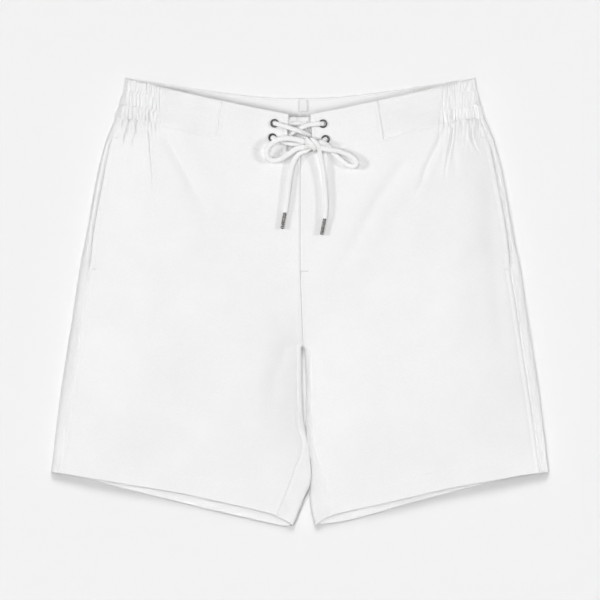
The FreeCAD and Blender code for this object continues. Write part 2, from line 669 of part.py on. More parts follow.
shapes["lace_loop_right"] = save("lace_loop_right", tube(LOOP_R, LACE_R, "lace_loop_right"))
shapes["lace_loop_left"] = save("lace_loop_left", tube(LOOP_L, LACE_R, "lace_loop_left"))
knot = Part.makeBox(kx1 - kx0, ky1 - ky0, KNOT_Z[1] - KNOT_Z[0], V(kx0, ky0, T + KNOT_Z[0]))
knot = knot.makeFillet(2.0, knot.Edges)
save("lace_knot", knot)
# free ends, lying on the front
LIE = T + LACE_R + 0.6
TAIL_R = [(7.4, 156.6, LIE), (1.8, 155.4, LIE), (-3.0, 152.2, LIE), (-6.6, 147.2, LIE), (-9.0, 140.4, LIE),
          (-10.6, 131.4, LIE), (-11.9, 120.6, LIE), (-13.2, 109.0, LIE), (-14.9, 96.2, LIE)]
TAIL_L = [(20.4, 156.8, LIE), (22.3, 147.6, LIE), (24.1, 137.4, LIE), (25.5, 126.0, LIE), (26.6, 114.0, LIE),
          (27.2, 103.0, LIE), (26.9, 94.6, LIE), (25.8, 88.4, LIE)]
AGLET_GAP = 0.1
for word, tail in (("right", TAIL_R), ("left", TAIL_L)):
    save("lace_tail_" + word, tube(tail, LACE_R, "lace_tail_" + word))
    a, b = V(*tail[-2]), V(*tail[-1])
    d = (b - a).normalize()
    # crimped metal tip with four ribs
    start = b + d * AGLET_GAP
    parts_ = [Part.makeCylinder(AGLET_R - 0.2, AGLET_L, start, d)]
    for k in range(5):
        parts_.append(Part.makeCylinder(AGLET_R, 2.1, start + d * (0.3 + 3.8 * k), d))
    body = parts_[0].multiFuse(parts_[1:]).removeSplitter()
    save("aglet_" + word, body.Solids[0])
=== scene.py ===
import bpy, json, math
import numpy as np
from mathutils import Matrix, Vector

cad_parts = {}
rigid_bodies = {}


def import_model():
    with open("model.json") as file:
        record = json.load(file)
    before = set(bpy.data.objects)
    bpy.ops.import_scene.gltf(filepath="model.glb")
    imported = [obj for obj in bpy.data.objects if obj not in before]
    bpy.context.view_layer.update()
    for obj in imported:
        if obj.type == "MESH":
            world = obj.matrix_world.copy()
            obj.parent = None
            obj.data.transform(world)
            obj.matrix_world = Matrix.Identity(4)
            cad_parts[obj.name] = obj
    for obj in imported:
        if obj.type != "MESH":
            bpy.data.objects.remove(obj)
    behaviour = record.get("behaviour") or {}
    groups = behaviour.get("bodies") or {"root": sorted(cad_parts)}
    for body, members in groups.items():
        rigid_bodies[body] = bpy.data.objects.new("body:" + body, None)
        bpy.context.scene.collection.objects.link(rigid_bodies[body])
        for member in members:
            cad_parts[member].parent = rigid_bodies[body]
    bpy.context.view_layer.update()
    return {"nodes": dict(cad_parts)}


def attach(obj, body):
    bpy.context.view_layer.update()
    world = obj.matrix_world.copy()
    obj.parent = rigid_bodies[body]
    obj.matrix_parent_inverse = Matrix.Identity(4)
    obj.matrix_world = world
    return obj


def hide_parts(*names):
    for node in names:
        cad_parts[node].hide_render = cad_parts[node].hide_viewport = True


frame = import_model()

MM = 0.001
BODY = "shorts"
pi = math.pi

# ------------------------------------------------------------------ camera
cam = bpy.data.objects.new("camera", bpy.data.cameras.new("camera"))
bpy.context.scene.collection.objects.link(cam)
cam.location = (0.0, 0.0021, 5.0)
cam.data.sensor_width = 36.0
cam.data.lens = 36.0 * 4.985 / 0.630
cam.data.clip_end = 60.0
bpy.context.scene.camera = cam

# ------------------------------------------------------------------ dimensions, millimetres, as in the CAD
FOLD_R, LOFT, LOFT_OUT, LOFT_IN = 4.5, 17.0, 110.0, 80.0
T = 2 * FOLD_R + LOFT
SEAM = 0.15
BACK_SPLIT = 110.0
END_TOP, END_LOW = 81.5, 88.0
EYELETS = [(-26.7, 187.3), (24.0, 186.8), (-29.0, 172.3), (26.8, 170.5)]
POCKET_TOP, POCKET_LOW = 173.0, 35.0
CROTCH_Y = -48.8
FLY_LOW = 32.3

OUTLINE = [(-193.3, 263.6), (-177.9, 261.8), (-158.6, 259.4), (-103.0, 252.8), (-50.5, 244.9),
           (2.0, 236.8), (44.0, 230.3), (59.8, 227.0), (87.1, 222.1), (116.5, 216.8), (140.6, 212.1),
           (159.5, 207.2), (174.2, 202.9), (185.8, 197.9), (196.3, 193.5), (209.9, 189.0),
           (222.5, 185.7), (236.0, 183.1)]
SIDE_SEAM = [(-193.3, 254.1), (-178.6, 252.6), (-145.0, 248.0), (-103.0, 242.0), (-50.5, 233.9),
             (2.0, 226.0), (36.7, 220.6), (65.0, 217.6), (92.3, 213.4), (119.6, 208.1),
             (148.0, 202.8), (176.3, 196.0), (193.1, 188.6)]
WAIST_FRONT = [(0.0, 195.2), (11.6, 196.5), (21.0, 198.4), (45.1, 203.0), (63.0, 206.8),
               (84.0, 211.2), (102.9, 215.2), (128.1, 221.2), (152.2, 227.6), (168.0, 231.4), (184.0, 234.9)]
WAIST_BACK = [(0.0, 214.6), (21.0, 214.9), (45.1, 216.4), (73.5, 219.6), (120.8, 225.9),
              (144.9, 229.6), (184.0, 235.1)]
BAND_SEAM = [(0.0, 157.4), (21.0, 158.5), (42.0, 161.2), (52.5, 163.7), (73.5, 167.9),
             (88.2, 170.9), (120.8, 180.3), (144.9, 186.3), (168.0, 190.5), (195.3, 193.6)]
BAND_SEAM_BACK = [(0.0, 174.6), (21.0, 174.9), (45.1, 176.4), (73.5, 179.4), (120.8, 185.2),
                  (144.9, 188.6), (195.3, 193.6)]
HEM_FRONT = {-1: [(8.9, -233.3), (14.7, -229.5), (28.4, -223.0), (47.2, -217.8), (84.0, -209.5),
                  (120.8, -201.4), (155.4, -195.4), (188.0, -190.1), (216.3, -185.5), (248.9, -179.8), (262.5, -178.3)],
             1: [(18.3, -232.3), (27.3, -226.7), (38.9, -222.4), (47.2, -220.2), (84.0, -212.2),
                 (120.8, -203.8), (149.1, -197.0), (185.8, -190.1), (214.2, -185.3), (233.1, -181.7), (262.5, -178.3)]}
HEM_BACK = {-1: [(0.0, -235.2), (14.5, -235.1), (28.4, -233.2), (47.2, -229.0), (120.8, -211.7),
                 (155.4, -203.2), (192.9, -193.9), (216.3, -187.4), (262.5, -178.3)],
            1: [(12.6, -233.5), (16.4, -233.3), (33.3, -232.3), (47.2, -230.0), (120.8, -209.8),
                (158.1, -199.6), (195.6, -191.0), (223.7, -184.5), (262.5, -178.3)]}
INNER = {-1: [(-235.1, -7.4), (-213.6, 1.7), (-200.6, 7.1), (-193.3, 9.5), (-182.8, 11.3), (-168.1, 10.2),
              (-145.0, 6.9), (-124.0, 2.9), (-103.0, 2.3), (-61.0, 1.9), (-48.8, 1.6)],
         1: [(-233.3, 15.5), (-206.1, 9.8), (-192.2, 11.7), (-182.8, 13.1), (-168.1, 12.0), (-149.2, 8.7),
             (-124.0, 6.9), (-103.0, 6.4), (-57.8, 5.3), (-48.8, 4.9)]}
INSEAM = [(-235.2, 21.0), (-197.5, 21.0), (-177.5, 17.0), (-160.8, 8.5), (-145.0, 5.4), (-40.0, 5.0)]


def curve(table):
    """Smooth monotone cubic through the table's points, for arrays."""
    pts = sorted(table)
    x, y = np.array([p[0] for p in pts]), np.array([p[1] for p in pts])
    n = len(x)
    h = np.diff(x)
    s = np.diff(y) / h
    m = np.zeros(n)
    m[0], m[-1] = s[0], s[-1]
    for i in range(1, n - 1):
        if s[i - 1] * s[i] > 0:
            w1, w2 = 2 * h[i] + h[i - 1], h[i] + 2 * h[i - 1]
            m[i] = (w1 + w2) / (w1 / s[i - 1] + w2 / s[i])

    def f(q):
        q = np.asarray(q, float)
        i = np.clip(np.searchsorted(x, q, side="left") - 1, 0, n - 2)
        t = (q - x[i]) / h[i]
        v = (y[i] * (1 + 2 * t) * (1 - t) ** 2 + h[i] * m[i] * t * (1 - t) ** 2
             + y[i + 1] * t * t * (3 - 2 * t) - h[i] * m[i + 1] * t * t * (1 - t))
        v = np.where(q <= x[0], y[0] + m[0] * (q - x[0]), v)
        return np.where(q >= x[-1], y[-1] + m[-1] * (q - x[-1]), v)
    return f


outline, side_seam = curve(OUTLINE), curve(SIDE_SEAM)
waist_front, waist_back = curve(WAIST_FRONT), curve(WAIST_BACK)
band_seam, band_seam_back = curve(BAND_SEAM), curve(BAND_SEAM_BACK)
hem_front = {s: curve(HEM_FRONT[s]) for s in HEM_FRONT}
hem_back = {s: curve(HEM_BACK[s]) for s in HEM_BACK}
inner = {s: curve(INNER[s]) for s in INNER}
inseam = curve(INSEAM)
leg_seam = {-1: inseam, 1: curve([(-235.2, 21.5), (-219.0, 21.5), (-201.5, 18.5), (-183.0, 12.0), (-164.0, 7.0), (-147.0, 5.4), (-40.0, 5.0)])}


def lerp(a, b, t):
    return a + (b - a) * t


def step(a, b, x):
    t = np.clip((np.asarray(x, float) - a) / (b - a), 0, 1)
    return t * t * (3 - 2 * t)


def centre_x(y):
    return 0.4 + 2.8 * np.clip((32.0 - np.asarray(y, float)) / (32.0 - CROTCH_Y), 0, 1)


def inner_u(side, y):
    return side * inner[side](np.minimum(y, CROTCH_Y))


SLIT = {s: float(inner_u(s, CROTCH_Y) - s * centre_x(CROTCH_Y)) for s in (-1, 1)}


def inner_distance(side, u, y):
    u, y = np.broadcast_arrays(np.asarray(u, float), np.asarray(y, float))
    low = np.maximum(0, u - inner_u(side, y))
    high = np.maximum(0, np.hypot(np.maximum(0, u - side * centre_x(y)), y - CROTCH_Y) - SLIT[side])
    return np.where(y <= CROTCH_Y, low, high)


def rise(d, reach):
    return 1 - (1 - np.clip(d / reach, 0, 1)) ** 3


def front_z(side, u, y):
    hem = np.clip((y - hem_front[side](u)) / 95.0, 0, 1)
    hem = 0.25 + 0.75 * hem * hem * (3 - 2 * hem)
    return 2 * FOLD_R + LOFT * hem * rise(np.maximum(0, outline(y) - u), LOFT_OUT) * rise(inner_distance(side, u, y), LOFT_IN)


# ------------------------------------------------------------------ small tools
_tables = {}


def noise(x, y, scale, seed):
    """Smooth value noise from -1 to 1."""
    if seed not in _tables:
        _tables[seed] = np.random.default_rng(seed).uniform(-1, 1, (97, 97))
    tab = _tables[seed]
    fx, fy = np.asarray(x, float) / scale + 200.5, np.asarray(y, float) / scale + 200.5
    ix, iy = np.floor(fx).astype(int), np.floor(fy).astype(int)
    tx, ty = fx - ix, fy - iy
    tx, ty = tx * tx * (3 - 2 * tx), ty * ty * (3 - 2 * ty)

    def g(i, j):
        return tab[i % 97, j % 97]
    return ((g(ix, iy) * (1 - tx) + g(ix + 1, iy) * tx) * (1 - ty)
            + (g(ix, iy + 1) * (1 - tx) + g(ix + 1, iy + 1) * tx) * ty)


def along(pts, x, y):
    """Distance from a run of points, the share of its length passed there, and the side on which each point lies."""
    p = np.array(pts, float)
    seg = np.diff(p, axis=0)
    ln = np.hypot(seg[:, 0], seg[:, 1])
    at = np.concatenate([[0], np.cumsum(ln)]) / ln.sum()
    best = np.full(np.shape(x), 1e9)
    share = np.zeros(np.shape(x))
    sign = np.zeros(np.shape(x))
    for i in range(len(seg)):
        dx, dy = x - p[i, 0], y - p[i, 1]
        t = (dx * seg[i, 0] + dy * seg[i, 1]) / ln[i] ** 2
        tc = np.clip(t, 0, 1)
        d = np.hypot(dx - tc * seg[i, 0], dy - tc * seg[i, 1])
        c = np.sign(dx * seg[i, 1] - dy * seg[i, 0])
        better = d < best
        best = np.where(better, d, best)
        share = np.where(better, at[i] + tc * (at[i + 1] - at[i]), share)
        sign = np.where(better, c, sign)
    return best, share, sign


def fold_line(pts, depth, width, x, y, ridge=0.45, lead=0.12, tail=0.5, hill=2.3):
    """A crease: a sharp valley with soft ridges beside it, fading at both ends."""
    out = np.zeros(np.shape(x))
    p = np.array(pts)
    reach = width * 7
    m = ((x > p[:, 0].min() - reach) & (x < p[:, 0].max() + reach)
         & (y > p[:, 1].min() - reach) & (y < p[:, 1].max() + reach))
    if not m.any():
        return out
    d, s, _ = along(pts, x[m], y[m])
    env = step(0, lead, s) * (1 - step(1 - tail, 1.0, s))
    out[m] = depth * env * (-np.exp(-(d / width) ** 2) + ridge * np.exp(-((d - hill * width) / (1.5 * width)) ** 2))
    return out


def mesh_object(name, verts, faces, mat, body=BODY, smooth=True):
    me = bpy.data.meshes.new(name)
    me.from_pydata(np.asarray(verts, float).tolist(), [], [list(map(int, f)) for f in faces])
    me.validate()
    me.polygons.foreach_set("use_smooth", [smooth] * len(me.polygons))
    me.materials.append(mat)
    me.update()
    ob = bpy.data.objects.new(name, me)
    bpy.context.scene.collection.objects.link(ob)
    if body:
        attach(ob, body)
    return ob


def normals(P, outward):
    du, dv = np.gradient(P, axis=1), np.gradient(P, axis=0)
    n = np.cross(du, dv)
    n /= np.maximum(np.linalg.norm(n, axis=2, keepdims=True), 1e-9)
    return n * outward


ROUND = (0.22, 0.34, 0.22)
DOUBLE = (0.36, -0.10, 0.36)


def shell(P, thick, outward, rims=(ROUND, ROUND, ROUND, ROUND), holes=()):
    """A closed sheet of cloth under the grid P (rows, columns, xyz), mm. rims are the edge sections of the first row,
    last row, first column and last column. Returns vertices and faces."""
    R, C = P.shape[:2]
    N = normals(P, outward)
    th = np.broadcast_to(np.asarray(thick, float), (R, C))[..., None]
    Q = P - N * th
    outer = P.reshape(-1, 3)
    inn = Q.reshape(-1, 3)
    idx = np.arange(R * C).reshape(R, C)
    f = np.stack([idx[:-1, :-1], idx[:-1, 1:], idx[1:, 1:], idx[1:, :-1]], axis=-1).reshape(-1, 4)
    keep = np.ones(len(f), bool)
    for hx, hy, hr in holes:
        c = outer[f].mean(axis=1)
        keep &= np.hypot(c[:, 0] - hx, c[:, 1] - hy) > hr
    f = f[keep]
    if outward < 0:
        f = f[:, ::-1]
    n0 = R * C
    faces = [f, (f + n0)[:, ::-1]]
    # boundary loop with the direction out of the sheet at each point
    loop, back, prof = [], [], []
    for j in range(C - 1):
        loop.append((0, j)); back.append((1, j)); prof.append(rims[0])
    for i in range(R - 1):
        loop.append((i, C - 1)); back.append((i, C - 2)); prof.append(rims[3])
    for j in range(C - 1, 0, -1):
        loop.append((R - 1, j)); back.append((R - 2, j)); prof.append(rims[1])
    for i in range(R - 1, 0, -1):
        loop.append((i, 0)); back.append((i, 1)); prof.append(rims[2])
    L = len(loop)
    a = np.array(loop); b = np.array(back)
    po, pi_ = P[a[:, 0], a[:, 1]], Q[a[:, 0], a[:, 1]]
    out = po - P[b[:, 0], b[:, 1]]
    out /= np.maximum(np.linalg.norm(out, axis=1, keepdims=True), 1e-9)
    tt = np.linalg.norm(po - pi_, axis=1, keepdims=True)
    pr = np.array(prof)
    rings = [lerp(po, pi_, q) + out * (pr[:, k:k + 1] * tt) for k, q in enumerate((0.2, 0.5, 0.8))]
    verts = np.concatenate([outer, inn] + rings)
    ids = [a[:, 0] * C + a[:, 1]] + [2 * n0 + k * L + np.arange(L) for k in range(3)] + [n0 + a[:, 0] * C + a[:, 1]]
    for k in range(4):
        p, q = ids[k], ids[k + 1]
        g = np.stack([p, np.roll(p, -1), np.roll(q, -1), q], axis=-1)
        faces.append(g[:, ::-1] if outward > 0 else g)
    if holes:   # walls round the holes
        edges = {}
        for quad in f.tolist():
            for k in range(4):
                e = (quad[k], quad[(k + 1) % 4])
                if (e[1], e[0]) in edges:
                    del edges[(e[1], e[0])]
                else:
                    edges[e] = 1
        rim = set(ids[0].tolist())
        walls = [(e[1], e[0], e[0] + n0, e[1] + n0) for e in edges if not (e[0] in rim and e[1] in rim)]
        if walls:
            faces.append(np.array(walls))
    return verts, np.concatenate(faces)


def join_parts(parts):
    v, f, n = [], [], 0
    for a, b in parts:
        v.append(a)
        f += [[int(k) + n for k in face] for face in b]
        n += len(a)
    return np.concatenate(v), f


def tube_mesh(line, section, up=(0, 0, 1), caps=True):
    """A tube along the points of line (n, 3). section(i, n, s) gives (m, 2) across points, s the length passed."""
    line = np.asarray(line, float)
    n = len(line)
    tan = np.gradient(line, axis=0)
    tan /= np.linalg.norm(tan, axis=1, keepdims=True)
    s = np.concatenate([[0], np.cumsum(np.linalg.norm(np.diff(line, axis=0), axis=1))])
    v = np.cross(up, tan[0])
    if np.linalg.norm(v) < 0.2:
        v = np.cross((1, 0, 0), tan[0])
    v /= np.linalg.norm(v)
    rows = []
    for i in range(n):
        v = v - tan[i] * np.dot(v, tan[i])
        # the flat of the lace turns slowly to lie level where it runs level
        side_ = np.cross((0, 0, 1.0), tan[i])
        k = np.linalg.norm(side_)
        if k > 0.75 and i:
            side_ = side_ / k
            if np.dot(side_, v) < 0:
                side_ = -side_
            v = v + 0.15 * (side_ - v)
        v /= np.linalg.norm(v)
        w = np.cross(tan[i], v)
        sec = section(i, n, s[i])
        rows.append(line[i] + sec[:, :1] * v + sec[:, 1:] * w)
    g = np.array(rows)
    m = g.shape[1]
    verts = g.reshape(-1, 3)
    faces = []
    for i in range(n - 1):
        for j in range(m):
            k = (j + 1) % m
            faces.append([i * m + j, i * m + k, (i + 1) * m + k, (i + 1) * m + j])
    if caps:
        verts = np.concatenate([verts, line[:1] - tan[:1] * 0.4, line[-1:] + tan[-1:] * 0.4])
        a, b = n * m, n * m + 1
        for j in range(m):
            k = (j + 1) % m
            faces.append([j, a, k])
            faces.append([(n - 1) * m + k, b, (n - 1) * m + j])
    return verts, faces


# ------------------------------------------------------------------ materials
def node_material(name):
    mat = bpy.data.materials.new(name)
    mat.use_nodes = True
    nt = mat.node_tree
    return mat, nt, nt.nodes["Principled BSDF"]


def cloth(name, base, deep, weave=0.00062, weave_depth=0.00006, speckle=0.0011, speckle_depth=0.00005, sheen=0.25,
          rough=0.92, twill=False):
    """Woven cloth: two thread directions, slubs and a soft unevenness of tone."""
    mat, nt, bsdf = node_material(name)
    L = nt.links.new
    co = nt.nodes.new("ShaderNodeTexCoord")
    src = co.outputs["Object"]
    waves = []
    for d in ("X", "Y"):
        w = nt.nodes.new("ShaderNodeTexWave")
        w.wave_type, w.bands_direction, w.wave_profile = "BANDS", ("DIAGONAL" if twill and d == "X" else d), "SIN"
        w.inputs["Scale"].default_value = 2 * pi / weave / 20.0
        w.inputs["Distortion"].default_value = 0.6
        w.inputs["Detail"].default_value = 1.0
        w.inputs["Detail Scale"].default_value = 40.0
        L(src, w.inputs["Vector"])
        waves.append(w)
    mul = nt.nodes.new("ShaderNodeMath"); mul.operation = "MULTIPLY"
    L(waves[0].outputs["Fac"], mul.inputs[0]); L(waves[1].outputs["Fac"], mul.inputs[1])
    n1 = nt.nodes.new("ShaderNodeTexNoise")
    n1.inputs["Scale"].default_value = 1.0 / speckle
    n1.inputs["Detail"].default_value = 3.0
    n1.inputs["Roughness"].default_value = 0.65
    L(src, n1.inputs["Vector"])
    n2 = nt.nodes.new("ShaderNodeTexNoise")
    n2.inputs["Scale"].default_value = 22.0
    n2.inputs["Detail"].default_value = 4.0
    L(src, n2.inputs["Vector"])
    add = nt.nodes.new("ShaderNodeMath"); add.operation = "MULTIPLY_ADD"
    add.inputs[1].default_value = 0.55
    L(n1.outputs["Fac"], add.inputs[0])
    sc = nt.nodes.new("ShaderNodeMath"); sc.operation = "MULTIPLY"
    sc.inputs[1].default_value = 0.3
    L(n2.outputs["Fac"], sc.inputs[0]); L(sc.outputs[0], add.inputs[2])
    ramp = nt.nodes.new("ShaderNodeValToRGB")
    ramp.color_ramp.elements[0].position, ramp.color_ramp.elements[1].position = 0.28, 0.55
    ramp.color_ramp.elements[0].color = (*deep, 1)
    ramp.color_ramp.elements[1].color = (*base, 1)
    L(add.outputs[0], ramp.inputs["Fac"])
    L(ramp.outputs["Color"], bsdf.inputs["Base Color"])
    b1 = nt.nodes.new("ShaderNodeBump")
    b1.inputs["Strength"].default_value = 1.0
    b1.inputs["Distance"].default_value = weave_depth
    L(mul.outputs[0], b1.inputs["Height"])
    b2 = nt.nodes.new("ShaderNodeBump")
    b2.inputs["Strength"].default_value = 1.0
    b2.inputs["Distance"].default_value = speckle_depth
    L(n1.outputs["Fac"], b2.inputs["Height"]); L(b1.outputs["Normal"], b2.inputs["Normal"])
    L(b2.outputs["Normal"], bsdf.inputs["Normal"])
    bsdf.inputs["Roughness"].default_value = rough
    bsdf.inputs["Sheen Weight"].default_value = sheen
    bsdf.inputs["Sheen Roughness"].default_value = 0.5
    bsdf.inputs["Specular IOR Level"].default_value = 0.25
    return mat


def metal(name, base, rough):
    mat, nt, bsdf = node_material(name)
    L = nt.links.new
    co = nt.nodes.new("ShaderNodeTexCoord")
    n1 = nt.nodes.new("ShaderNodeTexNoise")
    n1.inputs["Scale"].default_value = 900.0
    n1.inputs["Detail"].default_value = 4.0
    L(co.outputs["Object"], n1.inputs["Vector"])
    # the colour is mottled with bright speckles up to four times the base: painted glints, standing in for the shine of
    # the crimped metal
    ramp = nt.nodes.new("ShaderNodeValToRGB")
    ramp.color_ramp.elements[0].color = (base[0] * 1.3, base[1] * 1.3, base[2] * 1.3, 1)
    ramp.color_ramp.elements[1].color = (base[0] * 4.0, base[1] * 4.0, base[2] * 4.0, 1)
    ramp.color_ramp.elements[0].position, ramp.color_ramp.elements[1].position = 0.51, 0.63
    L(n1.outputs["Fac"], ramp.inputs["Fac"]); L(ramp.outputs["Color"], bsdf.inputs["Base Color"])
    mr = nt.nodes.new("ShaderNodeMapRange")
    mr.inputs["To Min"].default_value, mr.inputs["To Max"].default_value = rough - 0.08, rough + 0.1
    L(n1.outputs["Fac"], mr.inputs["Value"]); L(mr.outputs["Result"], bsdf.inputs["Roughness"])
    b = nt.nodes.new("ShaderNodeBump")
    b.inputs["Distance"].default_value = 0.00003
    L(n1.outputs["Fac"], b.inputs["Height"]); L(b.outputs["Normal"], bsdf.inputs["Normal"])
    bsdf.inputs["Metallic"].default_value = 1.0
    return mat


SHELL = cloth("shell_cloth", (0.84, 0.84, 0.84), (0.775, 0.775, 0.775))
LINING = cloth("lining_cloth", (0.84, 0.84, 0.84), (0.79, 0.79, 0.79), weave=0.0005, weave_depth=0.00004)
STIFF = cloth("interlining", (0.80, 0.80, 0.79), (0.74, 0.74, 0.73), weave=0.0009, speckle=0.0018, speckle_depth=0.0001, sheen=0.0)
ELASTIC = cloth("elastic", (0.82, 0.82, 0.81), (0.70, 0.70, 0.69), weave=0.0012, weave_depth=0.0002, sheen=0.1)
TAPE = cloth("tape", (0.84, 0.84, 0.84), (0.79, 0.79, 0.785), weave=0.0009, weave_depth=0.0002, twill=True)
THREAD = cloth("thread", (0.87, 0.87, 0.86), (0.78, 0.78, 0.77), weave=0.0004, weave_depth=0.00005, speckle=0.0005, sheen=0.4, rough=0.7)
BRAID = cloth("lace_braid", (0.87, 0.87, 0.865), (0.79, 0.79, 0.785), weave=0.0006, weave_depth=0.00008, speckle=0.0006, sheen=0.35, rough=0.85)
GUNMETAL = metal("gunmetal", (0.135, 0.130, 0.125), 0.30)

# ------------------------------------------------------------------ the lace, first
def nurbs_line(name, pts):
    """The route's own smooth line: the points of its NURBS spline, in millimetres."""
    cu = bpy.data.curves.new(name + "_route", "CURVE")
    cu.dimensions = "3D"
    cu.resolution_u = 24
    sp = cu.splines.new("NURBS")
    sp.points.add(len(pts) - 1)
    for p, q in zip(sp.points, pts):
        p.co = (q[0], q[1], q[2], 1.0)
    sp.order_u = 3
    sp.use_endpoint_u = True
    ob = bpy.data.objects.new(name + "_route", cu)
    me = bpy.data.meshes.new_from_object(ob)
    co = np.array([v.co for v in me.vertices], float).reshape(-1, 3)
    bpy.data.meshes.remove(me)
    bpy.data.curves.remove(cu)
    return co / MM


def spaced(line, gap):
    s = np.concatenate([[0], np.cumsum(np.linalg.norm(np.diff(line, axis=0), axis=1))])
    at = np.linspace(0, s[-1], max(3, int(round(s[-1] / gap)) + 1))
    return np.stack([np.interp(at, s, line[:, k]) for k in range(3)], axis=1)


M = 36
ANG = np.arange(M) * 2 * pi / M


def braid(half_w=2.55, half_t=1.95, strands=8, pitch=7.5, relief=0.16, end_taper=0.0):
    """Section of a flattened round braid, its strands crossing over and under."""
    def f(i, n, s):
        a = np.sign(np.cos(ANG)) * np.abs(np.cos(ANG)) ** 0.85
        b = np.sign(np.sin(ANG)) * np.abs(np.sin(ANG)) ** 0.85
        p1 = strands * ANG / 2 + 2 * pi * s / pitch * strands / 4
        p2 = strands * ANG / 2 - 2 * pi * s / pitch * strands / 4
        r = 1 + relief / half_w * (np.maximum(np.cos(p1), np.cos(p2)) - 0.45)
        k = 1.0
        if end_taper:
            k = 1 - end_taper * (1 - min(1.0, s / 3.0))
        return np.stack([a * half_w * r * k, b * half_t * r * k], axis=1)
    return f


def m(points):
    return [[c * MM for c in p] for p in points]


def lace(name, pts_m, **kw):
    line = spaced(nurbs_line(name, pts_m), 0.55)
    v, f = tube_mesh(line, braid(**kw))
    return line, v, f


LACING = [
    (0.00535, 0.1647, 0.0291), (-0.0025, 0.1649, 0.0292), (-0.0155, 0.1666, 0.0296), (-0.0290, 0.1723, 0.0302),
    (-0.0290, 0.1723, 0.0203), (-0.0119, 0.1739, 0.0206), (-0.0044, 0.1794, 0.0242), (0.0015, 0.1826, 0.0266),
    (0.0105, 0.1860, 0.0294), (0.0240, 0.1868, 0.0302), (0.0240, 0.1868, 0.0203), (0.0080, 0.1865, 0.0203),
    (-0.0080, 0.1872, 0.0203), (-0.0267, 0.1873, 0.0203), (-0.0267, 0.1873, 0.0302), (-0.0095, 0.1819, 0.0303),
    (0.0005, 0.1785, 0.0301), (0.0114, 0.1746, 0.0206), (0.0268, 0.1705, 0.0203), (0.0268, 0.1705, 0.0302),
    (0.0210, 0.1669, 0.0296)]
LOOP_R = [
    (0.0046, 0.1674, 0.0348), (-0.0014, 0.1694, 0.0355), (-0.0115, 0.1714, 0.0360), (-0.0218, 0.1705, 0.0359),
    (-0.0302, 0.1660, 0.0337), (-0.0354, 0.1589, 0.0326), (-0.0346, 0.1510, 0.0318), (-0.0280, 0.1472, 0.0312),
    (-0.0194, 0.1496, 0.0312), (-0.0106, 0.1556, 0.0325), (-0.0034, 0.1612, 0.0340), (0.0046, 0.1620, 0.0344)]
LOOP_L = [
    (0.0205, 0.1620, 0.0342), (0.0270, 0.1596, 0.0348), (0.0335, 0.1589, 0.0352), (0.0410, 0.1579, 0.0334),
    (0.0495, 0.1548, 0.0324), (0.0564, 0.1506, 0.0319), (0.0599, 0.1454, 0.0319), (0.0562, 0.1410, 0.0310),
    (0.0492, 0.1434, 0.0297), (0.0410, 0.1498, 0.0289), (0.0344, 0.1574, 0.0289), (0.0286, 0.1636, 0.0306),
    (0.0250, 0.1666, 0.0348), (0.0205, 0.1674, 0.0350)]
TAIL_R = [
    (0.0074, 0.1586, 0.0312), (0.0022, 0.1575, 0.0309), (-0.0030, 0.1535, 0.0302), (-0.0066, 0.1472, 0.0294),
    (-0.0090, 0.1404, 0.0291), (-0.0107, 0.1314, 0.0289), (-0.0121, 0.1206, 0.0288), (-0.0137, 0.1085, 0.0287),
    (-0.0157, 0.0938, 0.0286)]
TAIL_L = [
    (0.0204, 0.1574, 0.0332), (0.0225, 0.1476, 0.0321), (0.0241, 0.1374, 0.0310), (0.0255, 0.1260, 0.0303),
    (0.0266, 0.1140, 0.0300), (0.0272, 0.1030, 0.0299), (0.0269, 0.0946, 0.0298), (0.0260, 0.0874, 0.0297)]


def lace_piece(name, pts, body, node, **kw):
    line, v, f = lace(name, pts, **kw)
    ob = mesh_object(name, v * MM, f, BRAID, body)
    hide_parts(node)
    return ob


lacing = lace_piece("lacing", LACING, BODY, "lace_lacing", half_w=2.35, half_t=1.9)
loop_r = lace_piece("bow_loop_right", LOOP_R, BODY, "lace_loop_right", half_w=2.75, half_t=1.95)
loop_l = lace_piece("bow_loop_left", LOOP_L, BODY, "lace_loop_left", half_w=2.65, half_t=1.95)
tail_r = lace_piece("tail_right", TAIL_R, "right_tail", "lace_tail_right", half_w=2.75, half_t=1.9)
tail_l = lace_piece("tail_left", TAIL_L, "left_tail", "lace_tail_left", half_w=2.4, half_t=1.9)

# the knot: a band wrapped slantwise round the two loops' ends, and the ends running into it
KNOT_RUNS = [
    # wrap over the top, from upper left to lower right, and down round the back
    ([(0.0058, 0.1712, 0.0290), (0.0062, 0.1708, 0.0345), (0.0092, 0.1680, 0.0375), (0.0128, 0.1642, 0.0378),
      (0.0152, 0.1606, 0.0362), (0.0158, 0.1590, 0.0318), (0.0150, 0.1598, 0.0288)], 2.35, 1.6),
    # the left end coming over the knot's shoulder
    ([(0.0105, 0.1700, 0.0330), (0.0128, 0.1698, 0.0362), (0.0165, 0.1672, 0.0372), (0.0192, 0.1630, 0.0360),
      (0.0205, 0.1592, 0.0342), (0.0208, 0.1562, 0.0330)], 2.4, 1.7),
    # loop ends through the middle
    ([(0.0030, 0.1674, 0.0345), (0.0080, 0.1666, 0.0335), (0.0130, 0.1660, 0.0330), (0.0180, 0.1664, 0.0338),
      (0.0225, 0.1674, 0.0348)], 2.5, 2.0),
    ([(0.0030, 0.1618, 0.0342), (0.0080, 0.1626, 0.0330), (0.0130, 0.1632, 0.0325), (0.0180, 0.1628, 0.0330),
      (0.0225, 0.1618, 0.0340)], 2.5, 2.0),
    # the right end leaving below
    ([(0.0130, 0.1640, 0.0312), (0.0105, 0.1612, 0.0318), (0.0085, 0.1592, 0.0315), (0.0062, 0.1583, 0.0312)], 2.4, 1.8),
    # the lacing's two ends under the knot
    ([(0.0040, 0.1647, 0.0291), (0.0085, 0.1648, 0.0290), (0.0135, 0.1652, 0.0290), (0.0175, 0.1660, 0.0292),
      (0.0222, 0.1673, 0.0297)], 2.2, 1.8),
]
parts = []
